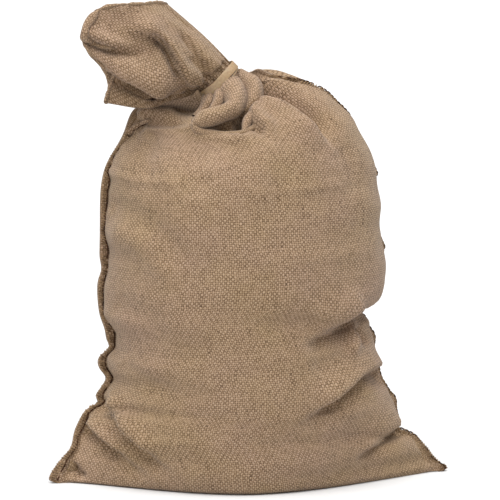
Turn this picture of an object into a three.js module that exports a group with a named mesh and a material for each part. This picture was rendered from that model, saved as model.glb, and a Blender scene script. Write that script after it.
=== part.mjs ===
// A filled hessian sack, standing on its base, its neck gathered and held by a rubber band.
// Millimetres, +Z up. The front faces -Y, +X is to the right of someone facing the front,
// and the origin is on the floor under the middle of the sack's bounding box.

import * as THREE from 'three';

// ---------------------------------------------------------------- driving dimensions

const MOUTH_WALL = 3;             // cloth of the open mouth, hem and fray included
const SEAM_THICKNESS = 3.2;       // two cloths and their overlock yarn
const COLUMNS_A_FACE = 32;        // points from one side seam to the other, on each face
const BACK_RISE = 0.35;           // how far the back stands up where the front drops
const LEFT_SEAM_BEND = 15;        // degrees by which the sewn edge leans to the front
const RIGHT_SEAM_BEND = 62;       // and by which the right one lies back

const NECK = {
  centreX: -30,
  centreZ: 398,
  halfWidth: 21,
  halfDepth: 17,
  leanDegrees: 45,                // the gathered neck leans this far to the left
  widening: 0.012,                // growth for each millimetre below the band
  pleats: 9,
  pleatDepth: 2.6,
  gatherRows: 1.6,                // the pleats fade out over this many rows of SECTIONS
  unevenness: [[2, 1.2], [3, 0.7]],   // waves round the neck, and how far they shift the pleats
};

const BAND = {
  width: 8,
  thickness: 1.1,
  gap: 0.35,                      // to the cloth, and between the two turns
  spread: 4.4,                    // half the step between the turns where they lie side by side
  stepsATurn: 40,
};

const BAND_REACH = 9.5;           // the neck stays plain this far to both sides of the band's middle
const BAND_CLEAR_ROWS = 0.5;      // and the folds begin this many rows from it
const FOLD_START_ROWS = 0.6;      // and reach their height over this many more

const MOUTH_INSIDE = {
  rows: 2.4,                      // the hollow ends this many rows below the hem
  narrowing: 0.45,                // share of its width that it loses on the way
  flattening: 0.6,                // and of its depth
  leastDepth: 1,
};

// The shape from a seam to the middle of a face, for a round side and for a pinched corner.
const ROUND_SIDE = { roundness: 2, taper: 0.5 };
const PINCHED_SIDE = { roundness: 1.7, taper: 1.35 };

const SEAM_BEND_WIDTH = { from: 5, full: 7 };   // the right seam lies back where it is this wide
const FLOOR_FADE = 12;            // folds fade out over this height above the floor
const FOLD_ENDS = { before: 0.12, rise: 0.3, after: 1.12, fall: 0.45 };   // shares of its length
const SEAM_FADE_COLUMNS = 4;      // folds fade out over this many columns beside a seam
const PLEAT_FADE_COLUMNS = 3;     // and pleats over this many
const OVERLAP_SHARE = 0.3;        // share of a half turn over which the band climbs onto itself

// The sack from its base to the hem of its mouth, a row for each section. A section runs from
// the left seam to the right seam, swells to the front and to the back, and is pinched towards
// a seam where a bottom corner is squeezed flat. "turn" pushes the front to the right and the
// back to the left, "drop" lets the front hang lower than the seams, "seam" is the width of the
// sewn edge that stands out at both sides, "mouth" is how far the section is spread like the
// open mouth, and "reach" is how much of the hem's uneven reach it has.
const SECTIONS = table(
  'leftX leftY leftZ rightX rightY rightZ front back pinchLeft pinchRight turn drop seam mouth reach', [
    [-193, -35, 0, 196, 20, 0, 81, 80, 1, 0.85, 4, 0, 7, 0, 0],
    [-200, -36, 5, 202, 21, 4, 87, 86, 1, 0.85, 4, 0, 7, 0, 0],
    [-191, -33, 20, 190, 19, 14, 92, 90, 0.85, 0.75, 5, 0, 7, 0, 0],
    [-179, -27, 34, 181, 16, 27, 95, 93, 0.65, 0.55, 6, 0, 7, 0, 0],
    [-174, -21, 53, 162, 14, 47, 98, 96, 0.42, 0.32, 8, 0, 7, 0, 0],
    [-161, -16, 77, 153, 13, 73, 100, 98, 0.2, 0.13, 10, 0, 7, 0, 0],
    [-147, -13, 98, 144, 13, 96, 102, 100, 0.08, 0.05, 12, 0, 7, 0, 0],
    [-152, -12, 120, 136, 14, 118, 102, 100, 0, 0, 14, 0, 7, 0, 0],
    [-144, -12, 145, 131, 15, 144, 101, 99, 0, 0, 14, 0, 7, 0, 0],
    [-150, -12, 169, 133, 16, 169, 100, 99, 0, 0, 14, 0, 7, 0, 0],
    [-152, -12, 197, 142, 17, 199, 101, 100, 0, 0, 14, 0, 7, 0, 0],
    [-149, -12, 227, 139, 18, 228, 101, 99, 0, 0, 14, 0, 7, 0, 0],
    [-148, -12, 256, 138, 18, 256, 99, 97, 0, 0, 13, 0, 7, 0, 0],
    [-149, -12, 283, 135, 18, 282, 96, 94, 0, 0, 12, 2, 7, 0, 0],
    [-147, -11, 306, 130, 17, 311, 92, 90, 0, 0, 11, 6, 7, 0, 0],
    [-141, -10, 319, 123, 15, 339, 88, 85, 0, 0, 10, 13, 7, 0, 0],
    [-134, -9, 331, 108, 12, 368, 82, 78, 0, 0, 8, 21, 7, 0, 0],
    [-125, -8, 344, 85, 8, 390, 74, 70, 0, 0, 6, 29, 7, 0, 0],
    [-118, -6, 358, 60, 6, 405, 64, 60, 0, 0, 5, 34, 6, 0, 0],
    [-113, -4, 370, 35, 5, 403, 52, 49, 0, 0, 4, 33, 5, 0, 0],
    [-96, -2, 373, 17, 4, 404, 39, 38, 0, 0, 2, 26, 4, 0, 0],
    [-64, 0, 366, 7, 3, 401, 28, 27, 0, 0, 0, 15, 3, 0, 0],
    neckRow(-22),
    neckRow(-BAND_REACH),
    neckRow(BAND_REACH),
    [-60, -6, 384, -26, 0, 427, 21, 21, 0, 0, 0, 0, 2, 0.2, 0],
    [-77, -16, 379, -41, -2, 443, 27, 26, 0, 0, 0, 0, 2, 0.6, 0.12],
    [-101, -28, 372, -58, -5, 460, 30, 28, 0, 0, 0, 0, 2, 1, 0.4],
    [-141, -34, 379, -79, -8, 472, 30, 26, 0, 0, 0, 0, 2, 1, 1],
  ]);

// The open mouth, a row for each ridge or hollow of its folds from the lower end (-1) to the
// upper end (1): how far the cloth stands out from the middle plane at the front and at the
// back, and how far the hem reaches past the straight line between the two ends.
const MOUTH_FOLDS = table('across front back frontReach backReach', [
  [-1, 2, 2, 0, 0],
  [-0.82, 6, 9, 3, 2],
  [-0.63, 6, 16, 6, 12],
  [-0.53, 16, 18, 12, 24],
  [-0.4, 24, 14, 42, 38],
  [-0.12, 26, 9, 54, 50],
  [0.12, 23, 14, 55, 48],
  [0.34, 17, 20, 53, 42],
  [0.58, 24, 17, 44, 30],
  [0.82, 18, 9, 20, 14],
  [1, 2, 2, 0, 0],
]);

// How many rings there are for each row of SECTIONS, closer where the neck is gathered.
const RING_STEPS = table('upToRow ringsARow', [
  [14, 2.2],
  [24, 2.6],
  [28, 2.5],
]);

// Where a fold starts at a side seam, the seam is drawn in: a row for each place.
const SEAM_NOTCHES = table('right height inward halfHeight', [
  [0, 133, 7, 7],
  [0, 103, 3, 6],
  [0, 78, 8, 5],
  [0, 212, 3, 9],
  [1, 170, 14, 9],
  [1, 47, 8, 6],
  [1, 100, 3, 8],
]);

// Folds and hollows of the cloth, a row for each: its two ends and how far its middle bows
// sideways, all seen from the front, its height (below zero for a crease), its half width on
// the upper and on the lower side, and 1 in the last column where it is on the back.
const FOLDS = table('startX startZ endX endZ bow height upper lower onBack', [
  [124, 166, 50, 136, 6, -15, 9, 20, 0],
  [124, 182, 62, 158, 4, 6, 13, 8, 0],
  [136, 112, 52, 58, 3, -8, 9, 16, 0],
  [152, 50, 98, 12, 3, -7, 6, 12, 0],
  [-148, 74, -96, 14, -5, -7, 7, 13, 0],
  [-166, 50, -122, 10, -3, -6, 6, 10, 0],
  [-20, 402, -8, 384, 3, 8, 8, 8, 0],
  [-9, 387, -20, 369, -4, 11, 8, 8, 0],
  [-15, 370, -52, 359, -2, 13, 9, 7, 0],
  [-46, 355, -8, 354, 0, -17, 6, 7, 0],
  [-17, 356, -7, 354, 0, -9, 6, 6, 0],
  [-54, 346, 0, 346, 0, 4, 6, 10, 0],
  [2, 394, -4, 366, 3, -8, 5, 5, 0],
  [10, 392, 52, 376, 3, 5, 8, 12, 0],
  [0, 408, 58, 381, -4, -8, 7, 10, 0],
  [-98, 362, -58, 357, 3, -7, 6, 8, 0],
  [-94, 446, -58, 392, 5, -9, 6, 7, 0],
  [-58, 424, -38, 392, 3, -4, 5, 6, 0],
  [-120, 168, -52, 132, 5, -9, 8, 18, 1],
  [124, 118, 46, 66, 4, -7, 8, 15, 1],
  [-130, 84, -70, 30, -5, -7, 8, 15, 1],
  [2, 404, 66, 368, -5, -8, 8, 12, 1],
  [-86, 356, -30, 348, 6, -8, 8, 12, 1],
  [-92, 444, -52, 394, -4, -7, 6, 7, 1],
]);

// ---------------------------------------------------------------- small helpers

function table(columnNames, rows) {
  const names = columnNames.split(' ');
  return rows.map((row) => Object.fromEntries(names.map((name, index) => [name, row[index]])));
}

// The neck's section at a distance along its leaning axis, as a row of SECTIONS.
function neckRow(alongAxis) {
  const lean = THREE.MathUtils.degToRad(NECK.leanDegrees);
  const x = NECK.centreX - alongAxis * Math.sin(lean);
  const z = NECK.centreZ + alongAxis * Math.cos(lean);
  const widening = 1 + NECK.widening * Math.max(-alongAxis - BAND_REACH, 0);
  const acrossX = NECK.halfWidth * widening * Math.cos(lean);
  const acrossZ = NECK.halfWidth * widening * Math.sin(lean);
  const depth = NECK.halfDepth * widening;
  return [x - acrossX, 0, z - acrossZ, x + acrossX, 0, z + acrossZ, depth, depth, 0, 0, 0, 0, 1.5, 0, 0];
}

function smooth(value) {
  const share = THREE.MathUtils.clamp(value, 0, 1);
  return share * share * (3 - 2 * share);
}

// A smooth curve through one column of a table. "places" are where the rows stand.
function curveThrough(rows, places, column, place) {
  const last = rows.length - 1;
  let index = 0;
  while (index < last - 1 && places[index + 1] <= place) index += 1;
  const slopeAt = (row) => {
    const before = Math.max(row - 1, 0);
    const after = Math.min(row + 1, last);
    return (rows[after][column] - rows[before][column]) / (places[after] - places[before]);
  };
  const step = places[index + 1] - places[index];
  const t = THREE.MathUtils.clamp((place - places[index]) / step, 0, 1);
  const start = rows[index][column];
  const end = rows[index + 1][column];
  const startSlope = slopeAt(index) * step;
  const endSlope = slopeAt(index + 1) * step;
  return start * (2 * t ** 3 - 3 * t ** 2 + 1) + startSlope * (t ** 3 - 2 * t ** 2 + t)
    + end * (3 * t ** 2 - 2 * t ** 3) + endSlope * (t ** 3 - t ** 2);
}

const BAND_ROW = 23.5;            // the band lies between two of the neck's rows in SECTIONS
const LAST_ROW = SECTIONS.length - 1;
const sectionPlaces = SECTIONS.map((row, index) => index);
const foldPlaces = MOUTH_FOLDS.map((row) => row.across);

function sectionAt(place) {
  const section = {};
  for (const column of Object.keys(SECTIONS[0])) {
    section[column] = curveThrough(SECTIONS, sectionPlaces, column, place);
  }
  return section;
}

const mouthFoldAt = (across, column) => curveThrough(MOUTH_FOLDS, foldPlaces, column, across);

function seamNotch(right, height) {
  let inward = 0;
  for (const notch of SEAM_NOTCHES) {
    if (notch.right === right) {
      inward += notch.inward * Math.exp(-(((height - notch.height) / notch.halfHeight) ** 2));
    }
  }
  return inward;
}

// ---------------------------------------------------------------- the sack's skin

// How far along a section each column stands, from the right seam's edge (1) to the left
// seam's edge (-1). The first and last step cross the sewn edge, the rest go round the body.
function acrossAt(column, seamShare) {
  const last = COLUMNS_A_FACE - 1;
  if (column === 0) return 1;
  if (column === last) return -1;
  return (1 - seamShare) * Math.cos(Math.PI * (column - 1) / (last - 2));
}

function swellAt(across, seamShare, pinchLeft, pinchRight) {
  const pinch = across < 0 ? pinchLeft : pinchRight;
  const share = Math.min(Math.abs(across) / (1 - seamShare), 1);
  const roundness = THREE.MathUtils.lerp(ROUND_SIDE.roundness, PINCHED_SIDE.roundness, pinch);
  const taper = THREE.MathUtils.lerp(ROUND_SIDE.taper, PINCHED_SIDE.taper, pinch);
  return (1 - share ** roundness) ** taper;
}

// One ring of points: the back from right to left, then the front from left to right. "inset"
// moves the ring in from the cloth's outer side, and "closing" draws it in to the middle.
function ringAt(place, inset = 0, closing = 0) {
  const section = sectionAt(place);
  const left = new THREE.Vector3(section.leftX, section.leftY, section.leftZ);
  const right = new THREE.Vector3(section.rightX, section.rightY, section.rightZ);
  left.x += seamNotch(0, left.z);
  right.x -= seamNotch(1, right.z);
  const middle = left.clone().add(right).multiplyScalar(0.5);
  const halfAcross = right.clone().sub(left).multiplyScalar(0.5);
  const halfWidth = halfAcross.length();
  const along = new THREE.Vector3(-halfAcross.z, 0, halfAcross.x).normalize();
  const seamShare = section.seam / halfWidth;
  const narrowing = (1 - inset / halfWidth) * (1 - MOUTH_INSIDE.narrowing * closing);
  const flattening = 1 - MOUTH_INSIDE.flattening * closing;
  const leastDepth = inset > 0 ? MOUTH_INSIDE.leastDepth : SEAM_THICKNESS / 2;
  const ring = [];
  for (const face of ['back', 'front']) {
    const outwards = face === 'back' ? 1 : -1;
    for (let step = 0; step < COLUMNS_A_FACE; step += 1) {
      const column = face === 'back' ? step : COLUMNS_A_FACE - 1 - step;
      const across = acrossAt(column, seamShare) * narrowing;
      const closed = section[face] * swellAt(across, seamShare, section.pinchLeft, section.pinchRight);
      const open = mouthFoldAt(across, face);
      const swell = THREE.MathUtils.lerp(closed, open, section.mouth);
      const outward = Math.max(swell - inset, leastDepth) * flattening;
      const reach = section.reach * mouthFoldAt(across, `${face}Reach`);
      const point = middle.clone().addScaledVector(halfAcross, across).addScaledVector(along, reach);
      point.y += outwards * outward;
      point.x -= outwards * section.turn * outward / section[face];
      const slide = face === 'front' ? -section.drop : BACK_RISE * section.drop;
      point.addScaledVector(along, slide * outward / section[face]);
      bendSeam(point, section, across, halfAcross, seamShare);
      ring.push(point);
    }
  }
  return ring;
}

// The sewn edge leans forward at the left and lies back at the right, less so at the corners.
function bendSeam(point, section, across, halfAcross, seamShare) {
  const beyondBody = Math.abs(across) - (1 - seamShare);
  if (beyondBody <= 0) return;
  const { from, full } = SEAM_BEND_WIDTH;
  const degrees = across < 0
    ? -LEFT_SEAM_BEND * (1 - section.pinchLeft)
    : RIGHT_SEAM_BEND * (1 - section.pinchRight) * smooth((section.seam - from) / (full - from));
  const bend = THREE.MathUtils.degToRad(degrees);
  const length = beyondBody * halfAcross.length();
  point.addScaledVector(halfAcross, -Math.sign(across) * beyondBody * (1 - Math.cos(bend)));
  point.y += length * Math.sin(bend);
}

// How far the folds of FOLDS lift or sink a point of one face.
function foldHeight(point, onBack) {
  let height = 0;
  for (const fold of FOLDS) {
    if (fold.onBack !== onBack) continue;
    const runX = fold.endX - fold.startX;
    const runZ = fold.endZ - fold.startZ;
    const length = Math.hypot(runX, runZ);
    const fromX = point.x - fold.startX;
    const fromZ = point.z - fold.startZ;
    const share = (fromX * runX + fromZ * runZ) / length ** 2;
    const bow = 4 * fold.bow * share * (1 - share);
    const aside = ((fromZ * runX - fromX * runZ) / length) * Math.sign(runX) - bow;
    const width = aside > 0 ? fold.upper : fold.lower;
    const start = smooth((share + FOLD_ENDS.before) / FOLD_ENDS.rise);
    const end = smooth((FOLD_ENDS.after - share) / FOLD_ENDS.fall);
    height += fold.height * start * end * Math.exp(-((aside / width) ** 2));
  }
  return height;
}

// The outward lift of every point of a ring: the folds, and the pleats round the neck.
function liftRing(ring, place, normals) {
  const fromBand = Math.abs(place - BAND_ROW);
  const gathered = Math.exp(-((fromBand / NECK.gatherRows) ** 2));
  const clearOfBand = smooth((fromBand - BAND_CLEAR_ROWS) / FOLD_START_ROWS);
  return ring.map((point, index) => {
    const column = index % COLUMNS_A_FACE;
    const fromSeam = Math.min(column, COLUMNS_A_FACE - 1 - column);
    const beside = smooth((fromSeam - 1) / SEAM_FADE_COLUMNS);
    const onBack = index < COLUMNS_A_FACE ? 1 : 0;
    const fold = foldHeight(point, onBack) * clearOfBand * smooth(point.z / FLOOR_FADE) * beside;
    const pleat = pleatAt(2 * Math.PI * index / ring.length) * smooth(fromSeam / PLEAT_FADE_COLUMNS);
    return normals[index].clone().multiplyScalar(fold - NECK.pleatDepth * gathered * pleat);
  });
}

// How deep in a pleat a point round the neck lies, from 0 to 1.
function pleatAt(turn) {
  let phase = NECK.pleats * turn;
  for (const [waves, shift] of NECK.unevenness) phase += shift * Math.sin(waves * turn);
  return 0.5 - 0.5 * Math.cos(phase);
}

function ringNormals(rings, ringIndex) {
  const count = rings[0].length;
  const below = rings[Math.max(ringIndex - 1, 0)];
  const above = rings[Math.min(ringIndex + 1, rings.length - 1)];
  return rings[ringIndex].map((point, index) => {
    const along = above[index].clone().sub(below[index]);
    const round = rings[ringIndex][(index + 1) % count].clone();
    round.sub(rings[ringIndex][(index + count - 1) % count]);
    return round.cross(along).normalize();
  });
}

// Rings that follow each other become one closed skin. The first and the last ring are each
// closed by strips from their back to their front.
function skinGeometry(rings) {
  const count = rings[0].length;
  const triangles = [];
  for (let ring = 0; ring < rings.length - 1; ring += 1) {
    const low = ring * count;
    const high = low + count;
    for (let index = 0; index < count; index += 1) {
      const next = (index + 1) % count;
      triangles.push([low + index, low + next, high + next], [low + index, high + next, high + index]);
    }
  }
  const lastStart = (rings.length - 1) * count;
  for (let back = 0; back < count / 2 - 1; back += 1) {
    const front = count - 1 - back;
    triangles.push([back + 1, back, front], [back + 1, front, front - 1]);
    triangles.push([lastStart + back, lastStart + back + 1, lastStart + front]);
    triangles.push([lastStart + back + 1, lastStart + front - 1, lastStart + front]);
  }
  return indexedGeometry(rings.flat(), triangles);
}

function indexedGeometry(points, triangles) {
  const geometry = new THREE.BufferGeometry();
  const coordinates = points.flatMap((point) => [point.x, point.y, point.z]);
  geometry.setAttribute('position', new THREE.Float32BufferAttribute(coordinates, 3));
  geometry.setIndex(triangles.flat());
  geometry.computeVertexNormals();
  return geometry;
}

function ringPlaces() {
  const places = [0];
  let fromRow = 0;
  for (const { upToRow, ringsARow } of RING_STEPS) {
    const count = Math.round((upToRow - fromRow) * ringsARow);
    for (let ring = 1; ring <= count; ring += 1) {
      places.push(fromRow + (upToRow - fromRow) * ring / count);
    }
    fromRow = upToRow;
  }
  return places;
}

function sackGeometry() {
  const places = ringPlaces();
  const plain = places.map((place) => ringAt(place));
  const lifts = plain.map((ring, index) => liftRing(ring, places[index], ringNormals(plain, index)));
  const outer = plain.map((ring, index) => (
    ring.map((point, column) => point.clone().add(lifts[index][column]))
  ));

  // the inside of the mouth, from the hem down to where the folds close up
  const inner = [];
  for (let index = places.length - 1; places[index] > LAST_ROW - MOUTH_INSIDE.rows; index -= 1) {
    const closing = smooth((LAST_ROW - places[index]) / MOUTH_INSIDE.rows);
    const ring = ringAt(places[index], MOUTH_WALL, closing);
    inner.push(ring.map((point, column) => point.addScaledVector(lifts[index][column], 1 - closing)));
  }
  return skinGeometry([...outer, ...inner]);
}

// ---------------------------------------------------------------- the rubber band

// A closed band wound twice round the neck: its turns lie on each other at the front and
// side by side at the back, where they change over.
function bandGeometry() {
  const lean = THREE.MathUtils.degToRad(NECK.leanDegrees);
  const across = new THREE.Vector3(Math.cos(lean), 0, Math.sin(lean));
  const axis = new THREE.Vector3(-Math.sin(lean), 0, Math.cos(lean));
  const centre = new THREE.Vector3(NECK.centreX, 0, NECK.centreZ);
  const backwards = new THREE.Vector3(0, 1, 0);
  const rings = [];
  const steps = 2 * BAND.stepsATurn;
  for (let step = 0; step < steps; step += 1) {
    const turn = 4 * Math.PI * step / steps;
    const half = Math.cos(turn / 2);
    const shift = BAND.spread * Math.sign(half) * Math.abs(half) ** 3;
    const over = 0.5 - 0.5 * THREE.MathUtils.clamp(Math.sin(turn / 2) / OVERLAP_SHARE, -1, 1);
    const inner = BAND.gap + over * (BAND.thickness + BAND.gap);
    const angle = turn + Math.PI / 2;
    const outline = [[inner, -1], [inner + BAND.thickness, -1], [inner + BAND.thickness, 1], [inner, 1]];
    rings.push(outline.map(([out, edge]) => centre.clone()
      .addScaledVector(across, (NECK.halfWidth + out) * Math.cos(angle))
      .addScaledVector(backwards, (NECK.halfDepth + out) * Math.sin(angle))
      .addScaledVector(axis, shift + edge * BAND.width / 2)));
  }
  return loopGeometry(rings);
}

// Rings that follow each other and come back to the first become one closed loop.
function loopGeometry(rings) {
  const count = rings[0].length;
  const triangles = [];
  for (let ring = 0; ring < rings.length; ring += 1) {
    const here = ring * count;
    const there = ((ring + 1) % rings.length) * count;
    for (let index = 0; index < count; index += 1) {
      const next = (index + 1) % count;
      triangles.push([here + index, there + next, here + next], [here + index, there + index, there + next]);
    }
  }
  return indexedGeometry(rings.flat(), triangles);
}

// ---------------------------------------------------------------- the object

const hessian = new THREE.MeshStandardMaterial({ color: 0x9c8467, roughness: 0.95, metalness: 0 });
const rubber = new THREE.MeshStandardMaterial({ color: 0xb59a76, roughness: 0.5, metalness: 0 });

const sack = new THREE.Mesh(sackGeometry(), hessian);
sack.name = 'sack';

const neckBand = new THREE.Mesh(bandGeometry(), rubber);
neckBand.name = 'neck_band';

const group = new THREE.Group();
group.add(sack, neckBand);

// the middle of the bounding box stands over the origin
const middleOfAll = new THREE.Box3().setFromObject(group).getCenter(new THREE.Vector3());
for (const mesh of [sack, neckBand]) mesh.geometry.translate(-middleOfAll.x, -middleOfAll.y, 0);

export default group;
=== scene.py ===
"""A filled hessian sack: plain-woven jute, overlocked side seams and a rubber band round its neck.

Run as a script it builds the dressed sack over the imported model, in metres, +Z up, front to -Y.
"""

import math

import bpy
import numpy as np
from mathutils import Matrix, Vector, noise


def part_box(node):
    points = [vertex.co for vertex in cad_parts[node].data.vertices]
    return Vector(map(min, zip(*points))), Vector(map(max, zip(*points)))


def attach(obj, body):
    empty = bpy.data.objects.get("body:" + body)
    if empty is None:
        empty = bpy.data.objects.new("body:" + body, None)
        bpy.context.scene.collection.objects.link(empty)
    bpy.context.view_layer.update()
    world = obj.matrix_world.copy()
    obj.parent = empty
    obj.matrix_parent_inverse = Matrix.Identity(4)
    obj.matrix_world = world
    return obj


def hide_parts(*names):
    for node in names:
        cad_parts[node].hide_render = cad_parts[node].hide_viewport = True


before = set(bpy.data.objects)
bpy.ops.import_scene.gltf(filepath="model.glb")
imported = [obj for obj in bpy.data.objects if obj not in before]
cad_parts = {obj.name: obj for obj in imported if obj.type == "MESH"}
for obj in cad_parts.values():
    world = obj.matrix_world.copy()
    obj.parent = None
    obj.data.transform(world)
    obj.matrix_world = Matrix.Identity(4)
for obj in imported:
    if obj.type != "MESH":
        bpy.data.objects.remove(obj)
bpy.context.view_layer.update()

bl_info = {
    "name": "Hessian sack",
    "version": (1, 0, 0),
    "blender": (4, 5, 0),
    "location": "View3D > Sidebar > Sack",
    "description": "Builds a filled hessian sack with sewn seams and a banded neck",
    "category": "Add Mesh",
}

MM = 0.001
SACK_LOW, SACK_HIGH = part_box("sack")

# ---------------------------------------------------------------------------- the sack's form

SECTION_COLUMNS = (
    "left_x left_y left_z right_x right_y right_z front back "
    "pinch_left pinch_right turn drop seam mouth reach"
).split()
BAND_REACH = 9.5
NECK = {
    "centre_x": -30,
    "centre_z": 398,
    "half_width": 21,
    "half_depth": 17,
    "lean": math.radians(45),
    "seam": 1.5,
}


def neck_row(along_axis):
    """A section of the gathered neck, at a distance along its leaning axis from the band's middle."""
    lean, half_width, depth = NECK["lean"], NECK["half_width"], NECK["half_depth"]
    x = NECK["centre_x"] - along_axis * math.sin(lean)
    z = NECK["centre_z"] + along_axis * math.cos(lean)
    out, up = half_width * math.cos(lean), half_width * math.sin(lean)
    return (x - out, 0, z - up, x + out, 0, z + up, depth, depth, 0, 0, 0, 0, NECK["seam"], 0, 0)


# A row for each section from the base to the hem, in millimetres. A section runs from the left
# seam to the right seam, swells to the front and to the back, and is pinched towards a bottom
# corner. "turn" pushes the front right and the back left, "drop" lets the front hang lower,
# "seam" is the sewn edge's width, "mouth" spreads the section like the open mouth, and "reach"
# is the share of the hem's reach that it has.
SECTIONS = np.array([
    (-193, -35, 0, 196, 20, 0, 81, 80, 1, 0.85, 4, 0, 7, 0, 0),
    (-200, -36, 5, 202, 21, 4, 87, 86, 1, 0.85, 4, 0, 7, 0, 0),
    (-191, -33, 20, 190, 19, 14, 92, 90, 0.85, 0.75, 5, 0, 7, 0, 0),
    (-179, -27, 34, 181, 16, 27, 95, 93, 0.65, 0.55, 6, 0, 7, 0, 0),
    (-174, -21, 53, 162, 14, 47, 98, 96, 0.42, 0.32, 8, 0, 7, 0, 0),
    (-161, -16, 77, 153, 13, 73, 100, 98, 0.2, 0.13, 10, 0, 7, 0, 0),
    (-147, -13, 98, 144, 13, 96, 102, 100, 0.08, 0.05, 12, 0, 7, 0, 0),
    (-152, -12, 120, 136, 14, 118, 102, 100, 0, 0, 14, 0, 7, 0, 0),
    (-144, -12, 145, 131, 15, 144, 101, 99, 0, 0, 14, 0, 7, 0, 0),
    (-150, -12, 169, 133, 16, 169, 100, 99, 0, 0, 14, 0, 7, 0, 0),
    (-152, -12, 197, 142, 17, 199, 101, 100, 0, 0, 14, 0, 7, 0, 0),
    (-149, -12, 227, 139, 18, 228, 101, 99, 0, 0, 14, 0, 7, 0, 0),
    (-148, -12, 256, 138, 18, 256, 99, 97, 0, 0, 13, 0, 7, 0, 0),
    (-149, -12, 283, 135, 18, 282, 96, 94, 0, 0, 12, 2, 7, 0, 0),
    (-147, -11, 306, 130, 17, 311, 92, 90, 0, 0, 11, 6, 7, 0, 0),
    (-141, -10, 319, 123, 15, 339, 88, 85, 0, 0, 10, 13, 7, 0, 0),
    (-134, -9, 331, 108, 12, 368, 82, 78, 0, 0, 8, 21, 7, 0, 0),
    (-125, -8, 344, 85, 8, 390, 74, 70, 0, 0, 6, 29, 7, 0, 0),
    (-120, -6, 359, 60, 6, 405, 64, 60, 0, 0, 5, 34, 6, 0, 0),
    (-118, -4, 371, 36, 5, 407, 52, 49, 0, 0, 4, 33, 5, 0, 0),
    (-103, -2, 376, 19, 4, 411, 40, 39, 0, 0, 2, 26, 4, 0, 0),
    (-64, 0, 367, 9, 3, 411, 29, 28, 0, 0, 0, 15, 3, 0, 0),
    (-33, 0, 367, 0, 0, 407, 23, 23, 0, 0, 0, 5, 2, 0, 0),
    neck_row(-BAND_REACH),
    neck_row(BAND_REACH),
    (-60, -6, 384, -25, 0, 423, 21, 21, 0, 0, 0, 0, 2, 0.2, 0),
    (-77, -16, 380, -41, -2, 439.5, 27, 26, 0, 0, 0, 0, 2, 0.6, 0.12),
    (-101, -28, 373, -58, -5, 455, 30, 28, 0, 0, 0, 0, 2, 1, 0.4),
    (-141, -34, 379, -80, -8, 474, 30, 26, 0, 0, 0, 0, 2, 1, 1),
])
# Rows of SECTIONS, and places between them: columns are eased between two of them, the weave is
# measured from the waist and runs level from a row upwards, the seams are calm from another, and the
# band sits at NECK_PLACE.
WAIST_ROW = 10
EASED_FROM_ROW, EASED_TO_ROW = 9, 20.5
LEVEL_ROW, LEVEL_OVER_ROWS = 17, 4
SEAM_CALM_ROW, SEAM_CALM_OVER_ROWS = 19, 3
NECK_FIRST_ROW = 23
NECK_PLACE = NECK_FIRST_ROW + 0.5
LAST_ROW = len(SECTIONS) - 1
# The mouth's inside reaches this far down, where it is narrower and flatter by these shares. It
# stays this far from the middle.
MOUTH_INNER_ROWS = 2.4
MOUTH_END_NARROWER, MOUTH_END_FLATTER = 0.45, 0.6
MOUTH_INNER_LEAST = 1.0
# A face swells as (1 - share ** a) ** b, with share from the middle (0) to the seam (1). Each power
# has its value on the body and what a full pinch adds to it.
SWELL_INNER_POWER, SWELL_OUTER_POWER = (2, -0.3), (0.5, 0.85)

# Rings stand closer together round one row, over so many rows, and a little closer beyond another.
CLOSE_RINGS = {"row": 21, "rows": 4, "closer": 0.9, "beyond": 24, "closer_beyond": 0.25}
# On the body, each column of SECTIONS is the mean of its values at these steps from a place.
EASING_STEPS = np.linspace(-1.1, 1.1, 9)

# The open mouth's folds, from its lower end (-1) to its upper end (1), in millimetres: how far
# the cloth stands out at the front and the back, and how far its hem reaches.
MOUTH_COLUMNS = "across front back front_reach back_reach".split()
MOUTH_FOLDS = np.array([
    (-1, 2, 2, 0, 0),
    (-0.82, 6, 9, 3, 2),
    (-0.63, 6, 16, 6, 12),
    (-0.53, 16, 18, 9, 22),
    (-0.4, 24, 14, 39, 36),
    (-0.12, 26, 9, 54, 50),
    (0.12, 24, 14, 55, 48),
    (0.34, 24, 20, 52, 40),
    (0.58, 24, 17, 38, 28),
    (0.82, 18, 9, 18, 12),
    (0.93, 9, 5, 11, 7),
    (1, 2, 2, 0, 0),
])

# (right side, height, inward, half height) of each place where a fold draws a seam in
SEAM_NOTCHES = (
    (0, 133, 7, 7),
    (0, 103, 3, 6),
    (0, 78, 8, 5),
    (0, 212, 3, 9),
    (1, 168, 13, 8),
    (1, 152, 6, 10),
    (1, 47, 8, 6),
    (1, 100, 3, 8),
)

# The left seam is wider in the flattened bottom corner, below this height.
CORNER_SEAM = {"wider": 5, "top": 34, "over": 30}
# Over this many columns from each side, a face is the seam's sewn edge.
SEAM_STEPS = 3
# The sewn edge's width varies by this share, and wobbles at this (rate, seed) up each side.
SEAM_WOBBLE = 0.35
RIGHT_WOBBLE, LEFT_WOBBLE = (1.1, 3.0), (1.3, 9.0)
# Each seam's stitches end at a place among the rows, and its needle line stands at a share of the
# sewn edge's width. On the shoulder the line lies below the edge, and a little into the cloth.
LEFT_STITCHES, RIGHT_STITCHES = (16.4, 0.23), (19.8, 0.72)
SHOULDER_LINE_BELOW, SHOULDER_LINE_SINK = 2.4, 1.1
# A stitch is a loop whose corners are rounded by this share of its depth.
LOOP_ROUNDING = 0.3
# The sewn edge leans forward at the left and lies back at the right.
LEFT_SEAM_BEND = math.radians(15)
RIGHT_SEAM_BEND = math.radians(78)
# Each bends over this share of its width.
SEAM_BENT_SHARE = 0.5
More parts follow.
